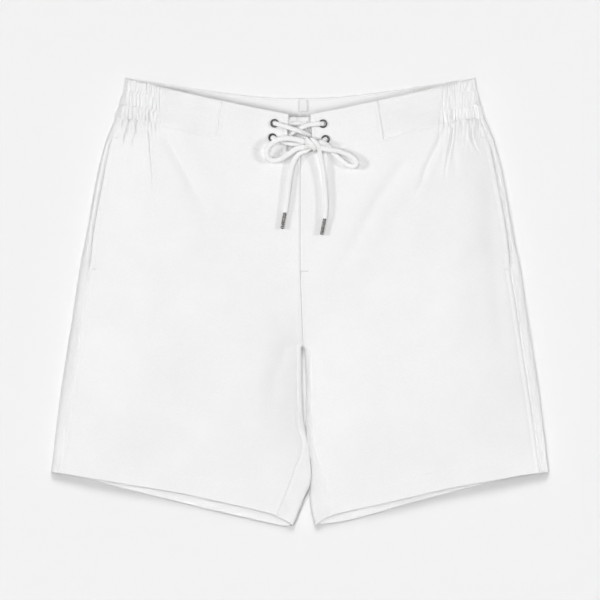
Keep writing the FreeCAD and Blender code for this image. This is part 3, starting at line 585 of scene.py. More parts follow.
for k, (pts, hw, ht) in enumerate(KNOT_RUNS):
    line = spaced(nurbs_line("knot%d" % k, pts), 0.55)
    parts.append(tube_mesh(line, braid(half_w=hw, half_t=ht)))
v, f = join_parts(parts)
knot = mesh_object("bow_knot", v * MM, f, BRAID)
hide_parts("lace_knot")



def lace_tip(name, start, toward, body, node):
    """A crimped metal tip 18 mm long: a rolled sheet with ribs pressed into it and rounded ends."""
    a, b = np.array(start), np.array(toward)
    d = (b - a) / np.linalg.norm(b - a)
    s = np.linspace(0, 18.0, 181)
    rib = np.abs(np.sin(pi * s / 2.25)) ** 0.6
    ends = np.clip(np.minimum(s, 18.0 - s) / 0.8, 0, 1)
    r = (1.48 + 0.42 * rib) * (0.72 + 0.28 * np.sqrt(ends * (2 - ends)))
    line = a + d * s[:, None]

    def sec(i, n, _):
        k = r[i] * (1 - 0.035 * (np.cos(ANG - pi / 2) > 0.985))
        return np.stack([np.cos(ANG) * k, np.sin(ANG) * k * 0.97], axis=1)
    v, f = tube_mesh(line, sec)
    ob = mesh_object(name, v * MM, f, GUNMETAL, body)
    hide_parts(node)
    return ob


tip_r = lace_tip("tip_right", (-15.6, 94.4, 28.6), (-18.9, 76.2, 28.55), "right_tail", "aglet_right")
tip_l = lace_tip("tip_left", (26.0, 88.0, 29.7), (22.5, 70.0, 29.1), "left_tail", "aglet_left")

for name in ("eyelets", "eyelet_washers"):
    o = frame["nodes"][name]
    o.data.materials.clear()
    o.data.materials.append(GUNMETAL)

# ------------------------------------------------------------------ gathers of the side bands
# crease positions, distance from the centre, above the first stitch row, between the rows, and below
GATHER = {
    -1: [[144.7, 148.7, 151.3, 154.2, 157.2, 162.2, 165.8, 168.7, 171.8, 175.0, 180.8],
         [145.1, 148.2, 151.2, 155.6, 158.9, 163.6, 166.5, 170.3, 174.3, 178.3, 182.3],
         [147.0, 151.4, 155.6, 159.6, 163.4, 167.4, 171.0, 174.0, 178.4, 182.4, 186.9]],
    1: [[144.4, 150.4, 155.9, 158.0, 160.0, 163.0, 164.4, 170.9, 174.5, 177.5, 180.1],
        [145.3, 150.4, 155.0, 158.6, 161.9, 164.6, 167.0, 173.0, 178.5, 182.1, 184.6],
        [146.4, 151.4, 156.4, 160.6, 164.4, 168.0, 171.6, 176.5, 181.8, 185.6, 188.6]],
}
V1, V2 = 0.31, 0.68      # the two stitch rows, as a share of the band's depth


def gathers(side, s, v):
    """Height of the gathers. s is the distance along the band from the centre, v from the top edge (0) to the seam (1)."""
    s, v = np.broadcast_arrays(np.asarray(s, float), np.asarray(v, float))
    base = np.array(GATHER[side])
    rng = np.random.default_rng(11 + side)
    more = np.cumsum(rng.uniform(3.6, 6.2, 22))
    pos = np.concatenate([base, base[:, -1:] + more + rng.uniform(-0.8, 0.8, (3, 22))], axis=1)
    pos = np.concatenate([pos[:, :1] - 5.0, pos], axis=1)
    k1, k2 = step(V1 - 0.05, V1 + 0.05, v), step(V2 - 0.05, V2 + 0.05, v)
    out = np.zeros(s.shape)
    strong = 0.75 + 0.5 * rng.random(pos.shape[1])
    for k in range(pos.shape[1] - 1):
        def at(j):
            return lerp(lerp(pos[0, j], pos[1, j], k1), pos[2, j], k2)
        wob = 0.8 * noise(v * 40, np.full_like(v, k * 7.0), 8.0, 31)
        wob2 = 0.8 * noise(v * 40, np.full_like(v, (k + 1) * 7.0), 8.0, 31)
        a, b = at(k) + wob, at(k + 1) + wob2
        w = np.maximum(b - a, 1.2)
        f = (s - a) / w
        inside = (f >= 0) & (f < 1)
        amp = strong[k] * np.clip(w / 5.0, 0.5, 1.15)
        near = w * np.minimum(f, 1 - f)
        out = np.where(inside, amp * (0.45 * np.sin(pi * np.clip(f, 0, 1)) ** 0.8 + 0.75 * (1 - np.exp(-(near / 0.8) ** 2))), out)
    pinch = 1 - 0.28 * (np.exp(-((v - V1) / 0.035) ** 2) + np.exp(-((v - V2) / 0.035) ** 2))
    env = step(142.5, 150.0, s)
    return (1.25 if side < 0 else 1.0) * env * (1.95 * out - 1.15) * pinch - 0.14 * env * (np.exp(-((v - V1) / 0.02) ** 2) + np.exp(-((v - V2) / 0.02) ** 2))


# ------------------------------------------------------------------ folds of the fronts, distance from centre against y
FOLDS = {
    -1: [
        ([(174.8, 204.4), (178.3, 195.3), (180.8, 183.3), (183.8, 174.2), (186.4, 158.2)], 2.7, 1.15, 0.35),
        ([(180.3, 206.9), (183.3, 201.4), (184.4, 193.4), (187.5, 181.3)], 2.4, 1.1, 0.35),
        ([(167.3, 203.3), (169.3, 195.4), (171.8, 186.3), (172.3, 178.2), (175.8, 167.2), (178.3, 154.2)], 2.0, 1.15, 0.35),
        ([(163.3, 186.3), (159.2, 179.3), (158.0, 171.2), (156.8, 153.1), (154.7, 133.1), (152.9, 104.0)], 1.15, 1.0, 0.4),
        ([(154.2, 199.3), (157.7, 191.4), (159.1, 186.3), (155.2, 183.3)], 1.4, 1.0, 0.4),
        ([(150.7, 192.3), (150.7, 175.3)], 0.7, 1.0, 0.4),
        ([(146.2, 182.2), (138.2, 171.2), (130.1, 155.1), (120.0, 138.1), (107.0, 110.0), (92.0, 80.0)], 1.9, 6.0, 0.5),
        ([(166.2, 158.2), (165.8, 133.1), (168.0, 110.0)], 0.35, 3.5, 0.4),
        ([(180.3, 155.1), (182.3, 143.1), (185.3, 123.0), (190.0, 90.0)], 0.45, 4.0, 0.4),
        ([(150.7, 128.0), (148.0, 100.0), (142.0, 60.0), (140.0, 10.0)], 0.35, 9.0, 0.3),
        ([(40.0, 20.0), (70.0, -20.0), (120.0, -60.0)], 0.6, 14.0, 0.3),
        ([(14.0, -40.0), (26.0, -80.0), (34.0, -130.0)], 0.8, 7.0, 0.4),
    ],
    1: [
        ([(149.9, 183.3), (148.4, 175.2), (143.3, 163.2), (133.4, 143.1), (127.3, 125.1), (116.0, 104.0)], 1.1, 2.6, 0.5),
        ([(156.5, 201.4), (156.9, 189.3), (159.4, 181.3), (158.4, 171.2), (155.9, 158.2), (153.4, 143.1), (151.4, 124.1)], 1.5, 1.1, 0.4),
        ([(175.5, 197.4), (178.5, 185.3), (179.6, 173.2), (183.5, 163.2), (190.6, 153.1)], 1.7, 1.1, 0.4),
        ([(182.5, 201.4), (186.6, 191.4), (188.0, 178.0)], 1.7, 1.0, 0.4),
        ([(169.5, 203.4), (169.5, 187.3), (171.0, 175.2)], 1.0, 1.0, 0.4),
        ([(145.3, 211.4), (146.4, 195.3), (147.8, 181.3)], 0.8, 1.0, 0.3),
        ([(161.0, 171.2), (161.9, 153.1), (163.5, 123.1)], 0.5, 3.2, 0.4),
        ([(116.2, 155.1), (101.2, 133.1), (83.1, 108.0), (74.0, 90.9), (52.0, 50.0), (30.0, 10.0)], 1.5, 6.5, 0.5),
        ([(118.0, 120.0), (100.0, 86.0), (84.0, 50.0)], 0.5, 9.0, 0.4),
        ([(202.0, 140.0), (200.0, 90.0), (205.0, 20.0), (214.0, -60.0), (222.0, -120.0)], 1.3, 11.0, 0.4),
        ([(178.0, 60.0), (186.0, 0.0), (196.0, -80.0)], 0.8, 12.0, 0.4),
        ([(14.0, -40.0), (28.0, -80.0), (38.0, -130.0)], 0.8, 7.0, 0.4),
    ],
}
SEAM_Y = {}


def front_detail(side, u, y):
    """What stands on the front's loft: folds, gathers, seams and hems, in millimetres."""
    x = side * u
    h = 0.30 * noise(x, y, 46, 3) + 0.14 * noise(x + 5, y, 17, 4) + 0.05 * noise(x, y, 6.5, 5)
    for pts, depth, width, ridge in FOLDS[side]:
        h += fold_line(pts, depth, width, u, y, ridge=ridge)
    # gathers running on below the band
    d = band_seam(u) - y
    h += 0.75 * np.exp(-np.maximum(d, 0) / 13.0) * (gathers(side, u + 0.10 * d, np.full(np.shape(u), 1.0)) + 0.2) * step(-1, 2, d)
    h -= 0.20 * np.exp(-((d - 0.6) / 1.1) ** 2)
    # side seam and pocket mouth
    e = side_seam(y) - u
    mouth = step(POCKET_LOW - 1, POCKET_LOW + 8, y) * (1 - step(POCKET_TOP - 8, POCKET_TOP + 1, y))
    h += mouth * (0.9 * np.exp(-(np.maximum(e, 0) / 5.0) ** 2) - 0.30 * np.exp(-((e - 5.2) / 0.8) ** 2))
    h += (1 - mouth) * (0.55 * np.exp(-((e - 2.2) / 1.5) ** 2) - 0.55 * np.exp(-(np.maximum(e, 0) / 0.9) ** 2)
                        - 0.25 * np.exp(-((e - 5.6) / 0.9) ** 2))
    h += 0.12 * noise(y, e * 0, 7.0, 8) * np.exp(-(e / 5.0) ** 2)
    # hem: a doubled strip 22 mm deep, its stitch row puckering the cloth
    g = y - hem_front[side](u)
    h += 0.16 * (1 - step(19.5, 23.5, g)) - 0.20 * np.exp(-((g - 21.2) / 1.0) ** 2)
    h += (0.14 * noise(u, g * 0, 8.5, 9) + 0.12 * noise(u, g * 0, 3.6, 10)) * np.exp(-((g - 20.5) / 4.5) ** 2)
    h += 0.30 * noise(u, g * 0, 24.0, 12) * np.exp(-(g / 14.0) ** 2)
    # inseam along the inner leg
    q = u - front_end(side, y)
    low = 1 - step(-60, -40, y)
    h += low * (0.30 * np.exp(-((q - 2.2) / 1.8) ** 2) - 0.22 * np.exp(-(q / 0.9) ** 2) + 0.15 * noise(y, q * 0, 9.0, 13) * np.exp(-(q / 5.0) ** 2))
    # centre seam and fly
    c = u - side * centre_x(y)
    up = step(-46, -40, y)
    if side > 0:
        above = step(FLY_LOW - 1, FLY_LOW + 3, y)
        h += up * (-0.55 * np.exp(-(c / 0.9) ** 2) + 0.25 * np.exp(-((c - 2.0) / 1.5) ** 2))
        h -= up * (1 - above) * 0.25 * np.exp(-((c - 2.5) / 0.8) ** 2)
    else:
        h += up * (-0.45 * np.exp(-(c / 0.8) ** 2) + 0.35 * np.exp(-((c - 2.0) / 1.8) ** 2))
        h -= up * 0.22 * np.exp(-((c - 2.5) / 0.8) ** 2) * (1 - step(FLY_LOW - 1, FLY_LOW + 3, y))
    h += up * 0.10 * noise(y, c * 0, 10.0, 14) * np.exp(-(c / 5.0) ** 2)
    return h


def front_end(side, y):
    y = np.asarray(y, float)
    c = side * centre_x(y)
    leg = inner_u(side, y) + leg_seam[side](y) + SEAM
    reach = SLIT[side] + 5.15
    turn = c + np.sqrt(np.maximum(reach ** 2 - (y - CROTCH_Y) ** 2, 0.0))
    return np.where(y <= CROTCH_Y, leg, np.maximum(c + SEAM, turn))


def front_height(side, u, y):
    return front_z(side, u, y) + front_detail(side, u, y)


def solve_rows(row, end, t, guess):
    y = row(t, guess * np.ones_like(t))
    for _ in range(30):
        e = end(y)
        y = 0.5 * y + 0.5 * row(t, e)
    return end(y)


def denser(n, lo, hi, a=0.0, b=0.0, mid=0.0):
    """n steps from 0 to 1, closer together at the low end by lo, at the high end by hi, and by mid from a to b."""
    s = np.linspace(0, 1, 801)
    dens = 1 + lo * np.exp(-s / 0.07) + hi * np.exp(-(1 - s) / 0.07) + mid * step(a - 0.04, a + 0.04, s) * (1 - step(b - 0.04, b + 0.04, s))
    c = np.concatenate([[0], np.cumsum((dens[1:] + dens[:-1]) / 2)])
    return np.interp(np.linspace(0, 1, n), c / c[-1], s)


def front_grid(side, rows=330, cols=250):
    t = denser(rows, 0.9, 0.2, 0.76, 1.1, 0.8)

    def row(t, u):
        return lerp(hem_front[side](u), band_seam(u) - SEAM, t)
    a = solve_rows(row, lambda y: front_end(side, y), t, 20.0)
    b = solve_rows(row, lambda y: side_seam(y) - SEAM, t, 220.0)
    s = denser(cols, 1.2, 1.0, 0.55, 0.97, 1.4)
    u = a[:, None] + (b - a)[:, None] * s[None, :]
    y = row(t[:, None], u)
    return np.stack([side * u, y, front_height(side, u, y)], axis=2)


REST = {-1: "right", 1: "left"}
for side, word in REST.items():
    P = front_grid(side)
    g = P[..., 1] - hem_front[side](side * P[..., 0])
    thick = 0.8 + 0.9 * (1 - step(18, 22, g))
    v, f = shell(P, thick, 1.0 if side > 0 else -1.0, rims=(DOUBLE, ROUND, ROUND, ROUND))
    ob = mesh_object("front_" + word, v * MM, f, SHELL)
    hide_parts("front_panel_" + word)


# ------------------------------------------------------------------ backs, with the side folds and inner leg folds
def back_detail_floor(side, u, y):
    """The underside, lying on the surface: shallow dents only, upwards."""
    x = side * u
    h = 0.12 + 0.10 * noise(x, y, 38, 21) + 0.05 * noise(x, y, 11, 22)
    c = u - side * centre_x(y)
    h += 0.5 * np.exp(-(c / 0.9) ** 2) + 0.25 * np.exp(-((c - 5.0) / 0.8) ** 2)
    g = y - hem_back[side](u)
    h += 0.30 * np.exp(-((g - 21.0) / 0.9) ** 2)
    d = band_seam_back(u) - y
    h += 0.45 * np.exp(-(d / 1.1) ** 2) + 0.20 * np.exp(-((d - 5) / 0.8) ** 2)
    return np.maximum(h, 0.0)


def fold_points(side, edge, sign, yk, d_top, n_top, lap, n_arc=21):
    """edge(y) distance of the fold's edge from the centre; yk(k) row heights against how far round (0 top, 1 floor)."""
    cols = []
    for i in range(n_top):
        q = i / n_top
        y = yk(0.0, lambda g: lerp(d_top(g), FOLD_R, q))
        d = lerp(d_top(y), FOLD_R, q)
        u = edge(y) - sign * d
        z = front_z(side, u, y)
        tuck = lap * (1 - step(0.0, 0.9, q * (d_top(y) - FOLD_R) / 2.2))
        cols.append((u, y, z - tuck, d))
    for i in range(n_arc):
        phi = lerp(pi / 2, -pi / 2, i / (n_arc - 1.0))
        k = (1 - math.sin(phi)) / 2
        blunt = 0.66 if sign < 0 else 0.78
        co, si = abs(math.cos(phi)) ** blunt, math.copysign(abs(math.sin(phi)) ** blunt, phi)
        d = FOLD_R * (1 - co)
        y = yk(k, lambda g: d)
        u = edge(y) - sign * d
        z = FOLD_R + FOLD_R * si
        if phi > 0:
            z = z + (front_z(side, u, y) - 2 * FOLD_R) * si ** 2
        cols.append((u, y, z + 0 * u, d + 0 * u))
    return cols


def back_grids(side):
    rows = 260
    t = denser(rows, 0.9, 0.4)

    # side fold and floor
    def yk(k, dist):
        def y(u):
            return lerp(lerp(hem_front[side](u), hem_back[side](u), k),
                        lerp(band_seam(u), band_seam_back(u), k) - SEAM, t)
        guess = y(np.full(rows, 250.0))
        for _ in range(12):
            guess = 0.5 * guess + 0.5 * y(outline(guess) - dist(guess))
        return guess
    LAP = 2.4
    cols = fold_points(side, outline, 1, yk, lambda y: outline(y) - side_seam(y) + LAP, 16, 1.2)
    cols = cols[::-1]

    def row(t_, u):
        return lerp(hem_back[side](u), band_seam_back(u) - SEAM, t_)

    def floor_in(y):
        c = side * centre_x(y)
        reach = SLIT[side] + FOLD_R
        turn = c + np.sqrt(np.maximum(reach ** 2 - (y - CROTCH_Y) ** 2, 0))
        return np.where(y <= CROTCH_Y, inner_u(side, y) + FOLD_R, np.maximum(c + SEAM, turn)) - 0.0
    a = solve_rows(row, floor_in, t, 20.0)
    b = cols[0][0]
    s = denser(70, 0.5, 0.3)[:-1]
    U = a[:, None] + (b - a)[:, None] * s[None, :]
    Y = row(t[:, None], U)
    fade = 1 - step(0.9, 1.0, s)[None, :]
    Z = back_detail_floor(side, U, Y) * fade
    floor = np.stack([side * U, Y, Z], axis=2)
    fu = np.stack([c[0] for c in cols], axis=1)
    fy = np.stack([c[1] for c in cols], axis=1)
    fz = np.stack([c[2] for c in cols], axis=1)
    fd = np.stack([c[3] for c in cols], axis=1)
    # dents along the fold, the pocket mouth's shaded valley, and the lap seam's second line
    top = step(5.0, 8.0, fz)
    e = fu - side_seam(fy)          # outwards from the seam
    mouth = step(POCKET_LOW - 1, POCKET_LOW + 8, fy) * (1 - step(POCKET_TOP - 8, POCKET_TOP + 1, fy))
    h = top * (-mouth * 4.3 * np.clip(1 - np.maximum(e, 0) / 4.7, 0, 1) ** 1.1 - (1 - mouth) * 0.5 * np.exp(-(e / 0.9) ** 2)
               - 0.22 * np.exp(-((e - 3.0) / 0.8) ** 2) * (1 - mouth))
    h += 0.20 * noise(fy, fd, 15, 23) * step(3.0, 6.0, fz) + 0.10 * noise(fy, fd * 0.5, 5, 24) * step(4.0, 7.0, fz)
    g = fy - hem_front[side](fu)
    h += top * (0.3 * (1 - step(20.5, 22.5, g)) - 0.30 * np.exp(-((g - 21.2) / 0.9) ** 2))
    bulge = 0.35 * noise(fy, fd * 0, 22, 25) + 0.12 * noise(fy, fd * 0, 7, 26)
    side_on = np.exp(-((fz - FOLD_R) / 3.5) ** 2)
    fold = np.stack([side * (fu + bulge * side_on), fy, fz + h], axis=2)
    main = np.concatenate([floor, fold], axis=1)

    # inner leg fold: straight along the leg, then a quarter turn round the crotch
    n_leg, n_turn = 190, 16
    tl = denser(n_leg, 0.6, 0.2)

    def leg(k, dist):
        g = -230.0
        for _ in range(40):
            uu = float(inner_u(side, g) + dist(g))
            g = 0.5 * g + 0.5 * float(lerp(hem_front[side](uu), hem_back[side](uu), k))
        return lerp(g, CROTCH_Y, tl)
    cols = fold_points(side, lambda y: inner_u(side, y), -1, leg, lambda y: leg_seam[side](y) + 2.0, 14, 1.05, 21)
    lu = np.stack([c[0] for c in cols], axis=1)
    ly = np.stack([c[1] for c in cols], axis=1)
    lz = np.stack([c[2] for c in cols], axis=1)
    ld = np.stack([c[3] for c in cols], axis=1)
    cx = float(side * centre_x(CROTCH_Y))
    th = np.linspace(0, pi / 2, n_turn + 1)[1:]
    rad = SLIT[side] + ld[-1][None, :]
    tu = cx + rad * np.cos(th)[:, None]
    ty = CROTCH_Y + rad * np.sin(th)[:, None]
    tz = np.repeat(lz[-1][None, :], n_turn, axis=0)
    U2, Y2, Z2 = np.concatenate([lu, tu]), np.concatenate([ly, ty]), np.concatenate([lz, tz])
    D2 = np.concatenate([ld, np.repeat(ld[-1][None, :], n_turn, axis=0)])
    top = step(5.0, 8.0, Z2)
    Z2 = Z2 + top * (0.15 * noise(Y2, D2, 14, 27) + 0.08 * noise(Y2, D2 * 0.6, 5, 28) - 0.2 * np.exp(-((D2 - leg_seam[side](Y2)) / 0.9) ** 2))
    g = Y2 - hem_front[side](np.maximum(U2, 9.0))
    Z2 = Z2 - top * 0.28 * np.exp(-((g - 21.2) / 0.9) ** 2)
    bulge = (0.40 * noise(Y2, D2 * 0, 24, 29) + 0.15 * noise(Y2, D2 * 0, 8, 30)) * np.exp(-((Z2 - FOLD_R) / 3.5) ** 2) * (1 - step(-80, -55, Y2))
    # between the knee-high points where the legs press together their sides bulge and meet
    meet = step(-202, -190, Y2) * (1 - step(-132, -108, Y2))
    bulge = np.clip(bulge, -0.5, 0.5) * (1 - 0.8 * meet) - 0.82 * meet * np.exp(-((Z2 - 6.4) / 2.6) ** 2)
    legf = np.stack([side * (U2 + bulge), Y2, Z2], axis=2)
    # run on a little along the floor
    tail = []
    for q in (1.2, 2.4):
        ext = legf[:, -1].copy()
        ext[:n_leg, 0] += side * q
        ext[n_leg:, 0] = side * (cx + (SLIT[side] + FOLD_R + q) * np.cos(th))
        ext[n_leg:, 1] = CROTCH_Y + (SLIT[side] + FOLD_R + q) * np.sin(th)
        ext[:, 2] = 0.25
        tail.append(ext)
    legf = np.concatenate([legf, np.stack(tail, axis=1)], axis=1)
    legf = legf[:, ::-1]
    return main, legf


for side, word in REST.items():
    main, legf = back_grids(side)
    gap_hem = main[..., 1] - np.minimum(hem_back[side](side * main[..., 0]), 9e9)
    thick = 0.8 + 0.9 * (1 - step(18, 22, gap_hem))
    a = shell(main, thick, -1.0 if side > 0 else 1.0, rims=(DOUBLE, ROUND, ROUND, ROUND))
    g2 = legf[..., 1] + 234.0
    b = shell(legf, 0.8 + 0.9 * (1 - step(18, 22, g2)), 1.0 if side > 0 else -1.0, rims=(DOUBLE, ROUND, ROUND, ROUND))
    v, f = join_parts([a, b])
    ob = mesh_object("back_" + word, v * MM, f, SHELL)
    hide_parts("back_panel_" + word)


# ------------------------------------------------------------------ waistband
def level_grid(side, u0t, u0l, u1t, u1l, top, low, z, rows, cols, bump=None):
    t = np.linspace(0, 1, rows)[:, None]
    s = np.linspace(0, 1, cols)[None, :]
    u = lerp(lerp(u0t, u0l, t), lerp(u1t, u1l, t), s)
    y = lerp(top(u), low(u), t)
    zz = z + (bump(u, y, t + 0 * s) if bump else 0 * u)
    return np.stack([side * u, y, zz], axis=2)


def band_ripple(side, u, y, t):
    x = side * u
    depth = 0.25 * noise(x, y, 30, 41) + 0.10 * noise(x, y * 2.2, 9, 42)
    # soft ripples running along the band
    depth += 0.16 * np.sin(t * 19 + 1.2 * noise(x, y * 0, 40, 43)) * step(60, 100, u)
    d = (1 - t) * 38.0
    depth -= 0.16 * np.exp(-((d - 1.0) / 0.9) ** 2)
    depth += 0.10 * np.exp(-((t * 38 - 2.0) / 1.8) ** 2)
    depth -= 0.07 * np.exp(-((t * 38 - 5.0) / 0.8) ** 2)
    return depth


GAP_TOP, GAP_LOW = {-1: 12.2, 1: 11.4}, {-1: 14.2, 1: 14.2}
for side, word in REST.items():
    gt, gl = GAP_TOP[side], GAP_LOW[side]

    def bump(u, y, t, side=side, gt=gt, gl=gl):
        h = band_ripple(side, u, y, t)
        e = u - lerp(gt, gl, t)
        h += 0.25 * np.exp(-((e - 1.8) / 1.6) ** 2) - 0.22 * np.exp(-((e - 4.2) / 0.8) ** 2)
        g = lerp(END_TOP, END_LOW, t) - u
        h += 0.35 * np.exp(-((g - 1.6) / 1.4) ** 2) - 0.40 * np.exp(-(g / 0.8) ** 2) - 0.28 * np.exp(-((g - 3.6) / 0.7) ** 2)
        for ex, ey in EYELETS:
            if ex * side > 0:
                r = np.hypot(side * u - ex, y - ey)
                h += -0.35 * np.exp(-((r - 4.6) / 2.0) ** 2) + 0.10 * np.exp(-((r - 9) / 3.0) ** 2)
        return h - 0.1
    P = level_grid(side, gt, gl, END_TOP - SEAM, END_LOW - SEAM, waist_front, lambda u: band_seam(u) + SEAM, T, 60, 96, bump)
    holes = [(x, y, 3.9) for x, y in EYELETS if x * side > 0]
    v, f = shell(P, 0.9, -1.0 if side > 0 else 1.0, holes=holes)
    ob = mesh_object("band_tab_" + word, v * MM, f, SHELL)
    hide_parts("waistband_placket_" + word)

    P = level_grid(side, gt + 1.5, gl + 1.5, END_TOP - 4, END_LOW - 4, lambda u: waist_front(u) - 1.5,
                   lambda u: band_seam(u) + 2.0, T - 1.35, 40, 70, lambda u, y, t: 0.08 * noise(u, y, 12, 51))
    v, f = shell(P, 0.7, -1.0 if side > 0 else 1.0, holes=holes)
    ob = mesh_object("band_stiffener_" + word, v * MM, f, STIFF)
    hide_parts("placket_interlining_" + word)

    P = level_grid(side, gt, gl, END_TOP, END_LOW, waist_front, lambda u: band_seam(u) + 0.5, T - 2.5, 40, 80,
                   lambda u, y, t: 0.10 * noise(u, y, 15, 52) - 0.1)
    v, f = shell(P, 0.7, -1.0 if side > 0 else 1.0, holes=holes)
    ob = mesh_object("band_facing_" + word, v * MM, f, LINING)
    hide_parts("facing_front_" + word)


def band_path(side, t, u_in, u_back, tf, lf, tb, lb, n_front, n_arc, n_back):
    """Points of a band's rows and each point's distance along the band; t a column of row shares."""
    w = outline(lerp(tf(184.0), lf(190.0), t))
    U, Y, Z, K = [], [], [], []
    for i in range(n_front):
        u = lerp(u_in, w - FOLD_R, i / float(n_front))
        y = lerp(tf(u), lf(u), t)
        U.append(u); Y.append(y); Z.append(front_z(side, u, y)); K.append(0 * t)
    for i in range(n_arc):
        phi = lerp(pi / 2, -pi / 2, i / (n_arc - 1.0))
        u = w - FOLD_R * (1 - math.cos(phi))
        k = (1 - math.sin(phi)) / 2
        y = lerp(lerp(tf(u), lf(u), t), lerp(tb(u), lb(u), t), k)
        z = FOLD_R + FOLD_R * math.sin(phi) + (front_z(side, u, y) - 2 * FOLD_R) * (math.sin(phi) ** 2 if phi > 0 else 0)
        U.append(u); Y.append(y); Z.append(z + 0 * t); K.append(k + 0 * t)
    for i in range(1, n_back + 1):
        u = lerp(w - FOLD_R, u_back, i / float(n_back))
        U.append(u); Y.append(lerp(tb(u), lb(u), t)); Z.append(0 * t); K.append(1 + 0 * t)
    U, Y, Z, K = (np.stack(q, axis=1) for q in (U, Y, Z, K))
    ds = np.hypot(np.diff(U, axis=1), np.diff(Z, axis=1))
    S = U[:, :1] + np.concatenate([np.zeros((len(t), 1)), np.cumsum(ds, axis=1)], axis=1)
    return U, Y, Z, K, S


for side, word in REST.items():
    t = np.linspace(0, 1, 64)
    U, Y, Z, K, S = band_path(side, t, lerp(END_TOP, END_LOW, t) + SEAM, BACK_SPLIT,
                              waist_front, lambda u: band_seam(u) + SEAM, waist_back, lambda u: band_seam_back(u) + SEAM,
                              190, 26, 110)
    P = np.stack([side * U, Y, Z], axis=2)
    N = normals(P, -1.0 if side > 0 else 1.0)
    tt = np.broadcast_to(t[:, None], U.shape)
    h = gathers(side, S, tt) * (1 - step(0.75, 1.0, K) * 0.75) * (1 - 0.45 * step(0.02, 0.25, K) * (1 - step(0.75, 1.0, K)))
    flat = 1 - step(142.5, 150.0, S)
    h += flat * (band_ripple(side, U, Y, tt) - 0.05)
    g = U - (lerp(END_TOP, END_LOW, t) + SEAM)[:, None]
    h -= np.where(K == 0, 0.35 * np.exp(-(g / 0.8) ** 2), 0)
    h += np.where(K < 0.5, 0.16 * noise(side * U, Y, 5.0, 44) * step(142, 150, S), 0)
    h -= 0.45 * np.exp(-(((1 - tt) * 40 - 0.8) / 1.0) ** 2) * step(142, 150, S)
    h -= 1.3 * np.exp(-(tt * 40 / 1.1) ** 2) * step(126, 146, S) * (K < 0.5)          # the top edge turned over
    h -= np.where(K < 0.5, (1.9 if side > 0 else 1.0) * np.exp(-((outline(Y) - U) / 3.2) ** 2) * (1 - 2 * K), 0)
    h = np.where(K > 0.97, -np.abs(h) * 0.8 - 0.05, h)       # on the floor the gathers only lift
    P = P + N * h[..., None]
    # the top edge scalloped by the gathers
    P[..., 1] += (0.55 * gathers(side, S, 0 * tt)) * np.exp(-tt * 14) * (K < 0.9)
    v, f = shell(P, 0.8, -1.0 if side > 0 else 1.0)
    ob = mesh_object("band_side_" + word, v * MM, f, SHELL)
    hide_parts("waistband_side_" + word)

    t = np.linspace(0, 1, 30)
    U, Y, Z, K, S = band_path(side, t, np.full(30, 145.0), BACK_SPLIT + 8.0,
                              lambda u: waist_front(u) - 2.0, lambda u: band_seam(u) + 2.5,
                              lambda u: waist_back(u) - 2.0, lambda u: band_seam_back(u) + 2.5, 40, 20, 50)
    P = np.stack([side * U, Y, Z], axis=2)
    N = normals(P, -1.0 if side > 0 else 1.0)
    P = P - N * (2.55 + 0.1 * np.sin(S * 2.6))[..., None]
    v, f = shell(P, 0.5, -1.0 if side > 0 else 1.0)
    ob = mesh_object("elastic_strip_" + word, v * MM, f, ELASTIC)
    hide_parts("elastic_" + word)


def back_strip(u_end, top, low, z, rows, cols, bump, crowd=0.0):
    t = denser(rows, crowd, 0.0)[:, None]
    x = np.linspace(-u_end, u_end, cols)[None, :] + 0 * t
    y = lerp(top(np.abs(x)), low(np.abs(x)), t)
    return np.stack([x, y, z + bump(x, y, t + 0 * x)], axis=2)


P = back_strip(BACK_SPLIT - SEAM, lambda u: waist_back(u) - 1.4, lambda u: band_seam_back(u) + SEAM, 0.0, 44, 200,
               lambda x, y, t: np.maximum(0, 0.12 + 0.08 * noise(x, y, 22, 61) + 0.35 * np.exp(-((1 - t) * 40 / 1.0) ** 2)
                                          + 0.2 * np.exp(-((t * 40 - 4) / 0.8) ** 2)))
v, f = shell(P, 0.8, 1.0)
ob = mesh_object("band_back", v * MM, f, SHELL)
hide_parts("waistband_back")

P = back_strip(BACK_SPLIT + 6.0, lambda u: waist_back(u) + 0.1, lambda u: band_seam_back(u) + 0.5, 2.1, 80, 240,
               lambda x, y, t: -1.55 * np.clip(1 - t * 40 / 1.5, 0, 1) ** 2.4 + 0.10 * noise(x, y, 26, 62) + 0.05 * noise(x, y, 8, 63)
               + 0.25 * np.exp(-((t * 40 - 1.6) / 1.4) ** 2) - 0.30 * np.exp(-((t * 40 - 3.4) / 0.7) ** 2)
               - 0.35 * np.exp(-((x - 0.2) / 0.7) ** 2) + 0.12 * np.exp(-((np.abs(x - 0.2) - 1.8) / 1.2) ** 2), crowd=9.0)
v, f = shell(P, 0.7, -1.0)
ob = mesh_object("band_back_facing", v * MM, f, LINING)
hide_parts("facing_back")


# hanger loop: a folded tape standing a little proud
def strip(points, width, thick, across=(0, 1, 0)):
    line = spaced(np.array(points, float), 0.4)
    a = np.array(across, float)
    s = np.linspace(-0.5, 0.5, 9)
    return np.stack([line + a * width * q for q in s], axis=1)


line = nurbs_line("hanger", m([(3.7, 200.6, 2.85), (3.7, 203.0, 2.9), (3.7, 205.0, 3.25), (3.7, 207.5, 3.35), (3.7, 210.5, 3.15), (3.7, 213.0, 2.85)]))
P = strip(line, 7.2, 0.6, (1, 0, 0))
v, f = shell(P, 0.6, -1.0)
ob = mesh_object("hanger_tape", v * MM, f, TAPE)
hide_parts("hanger_loop")


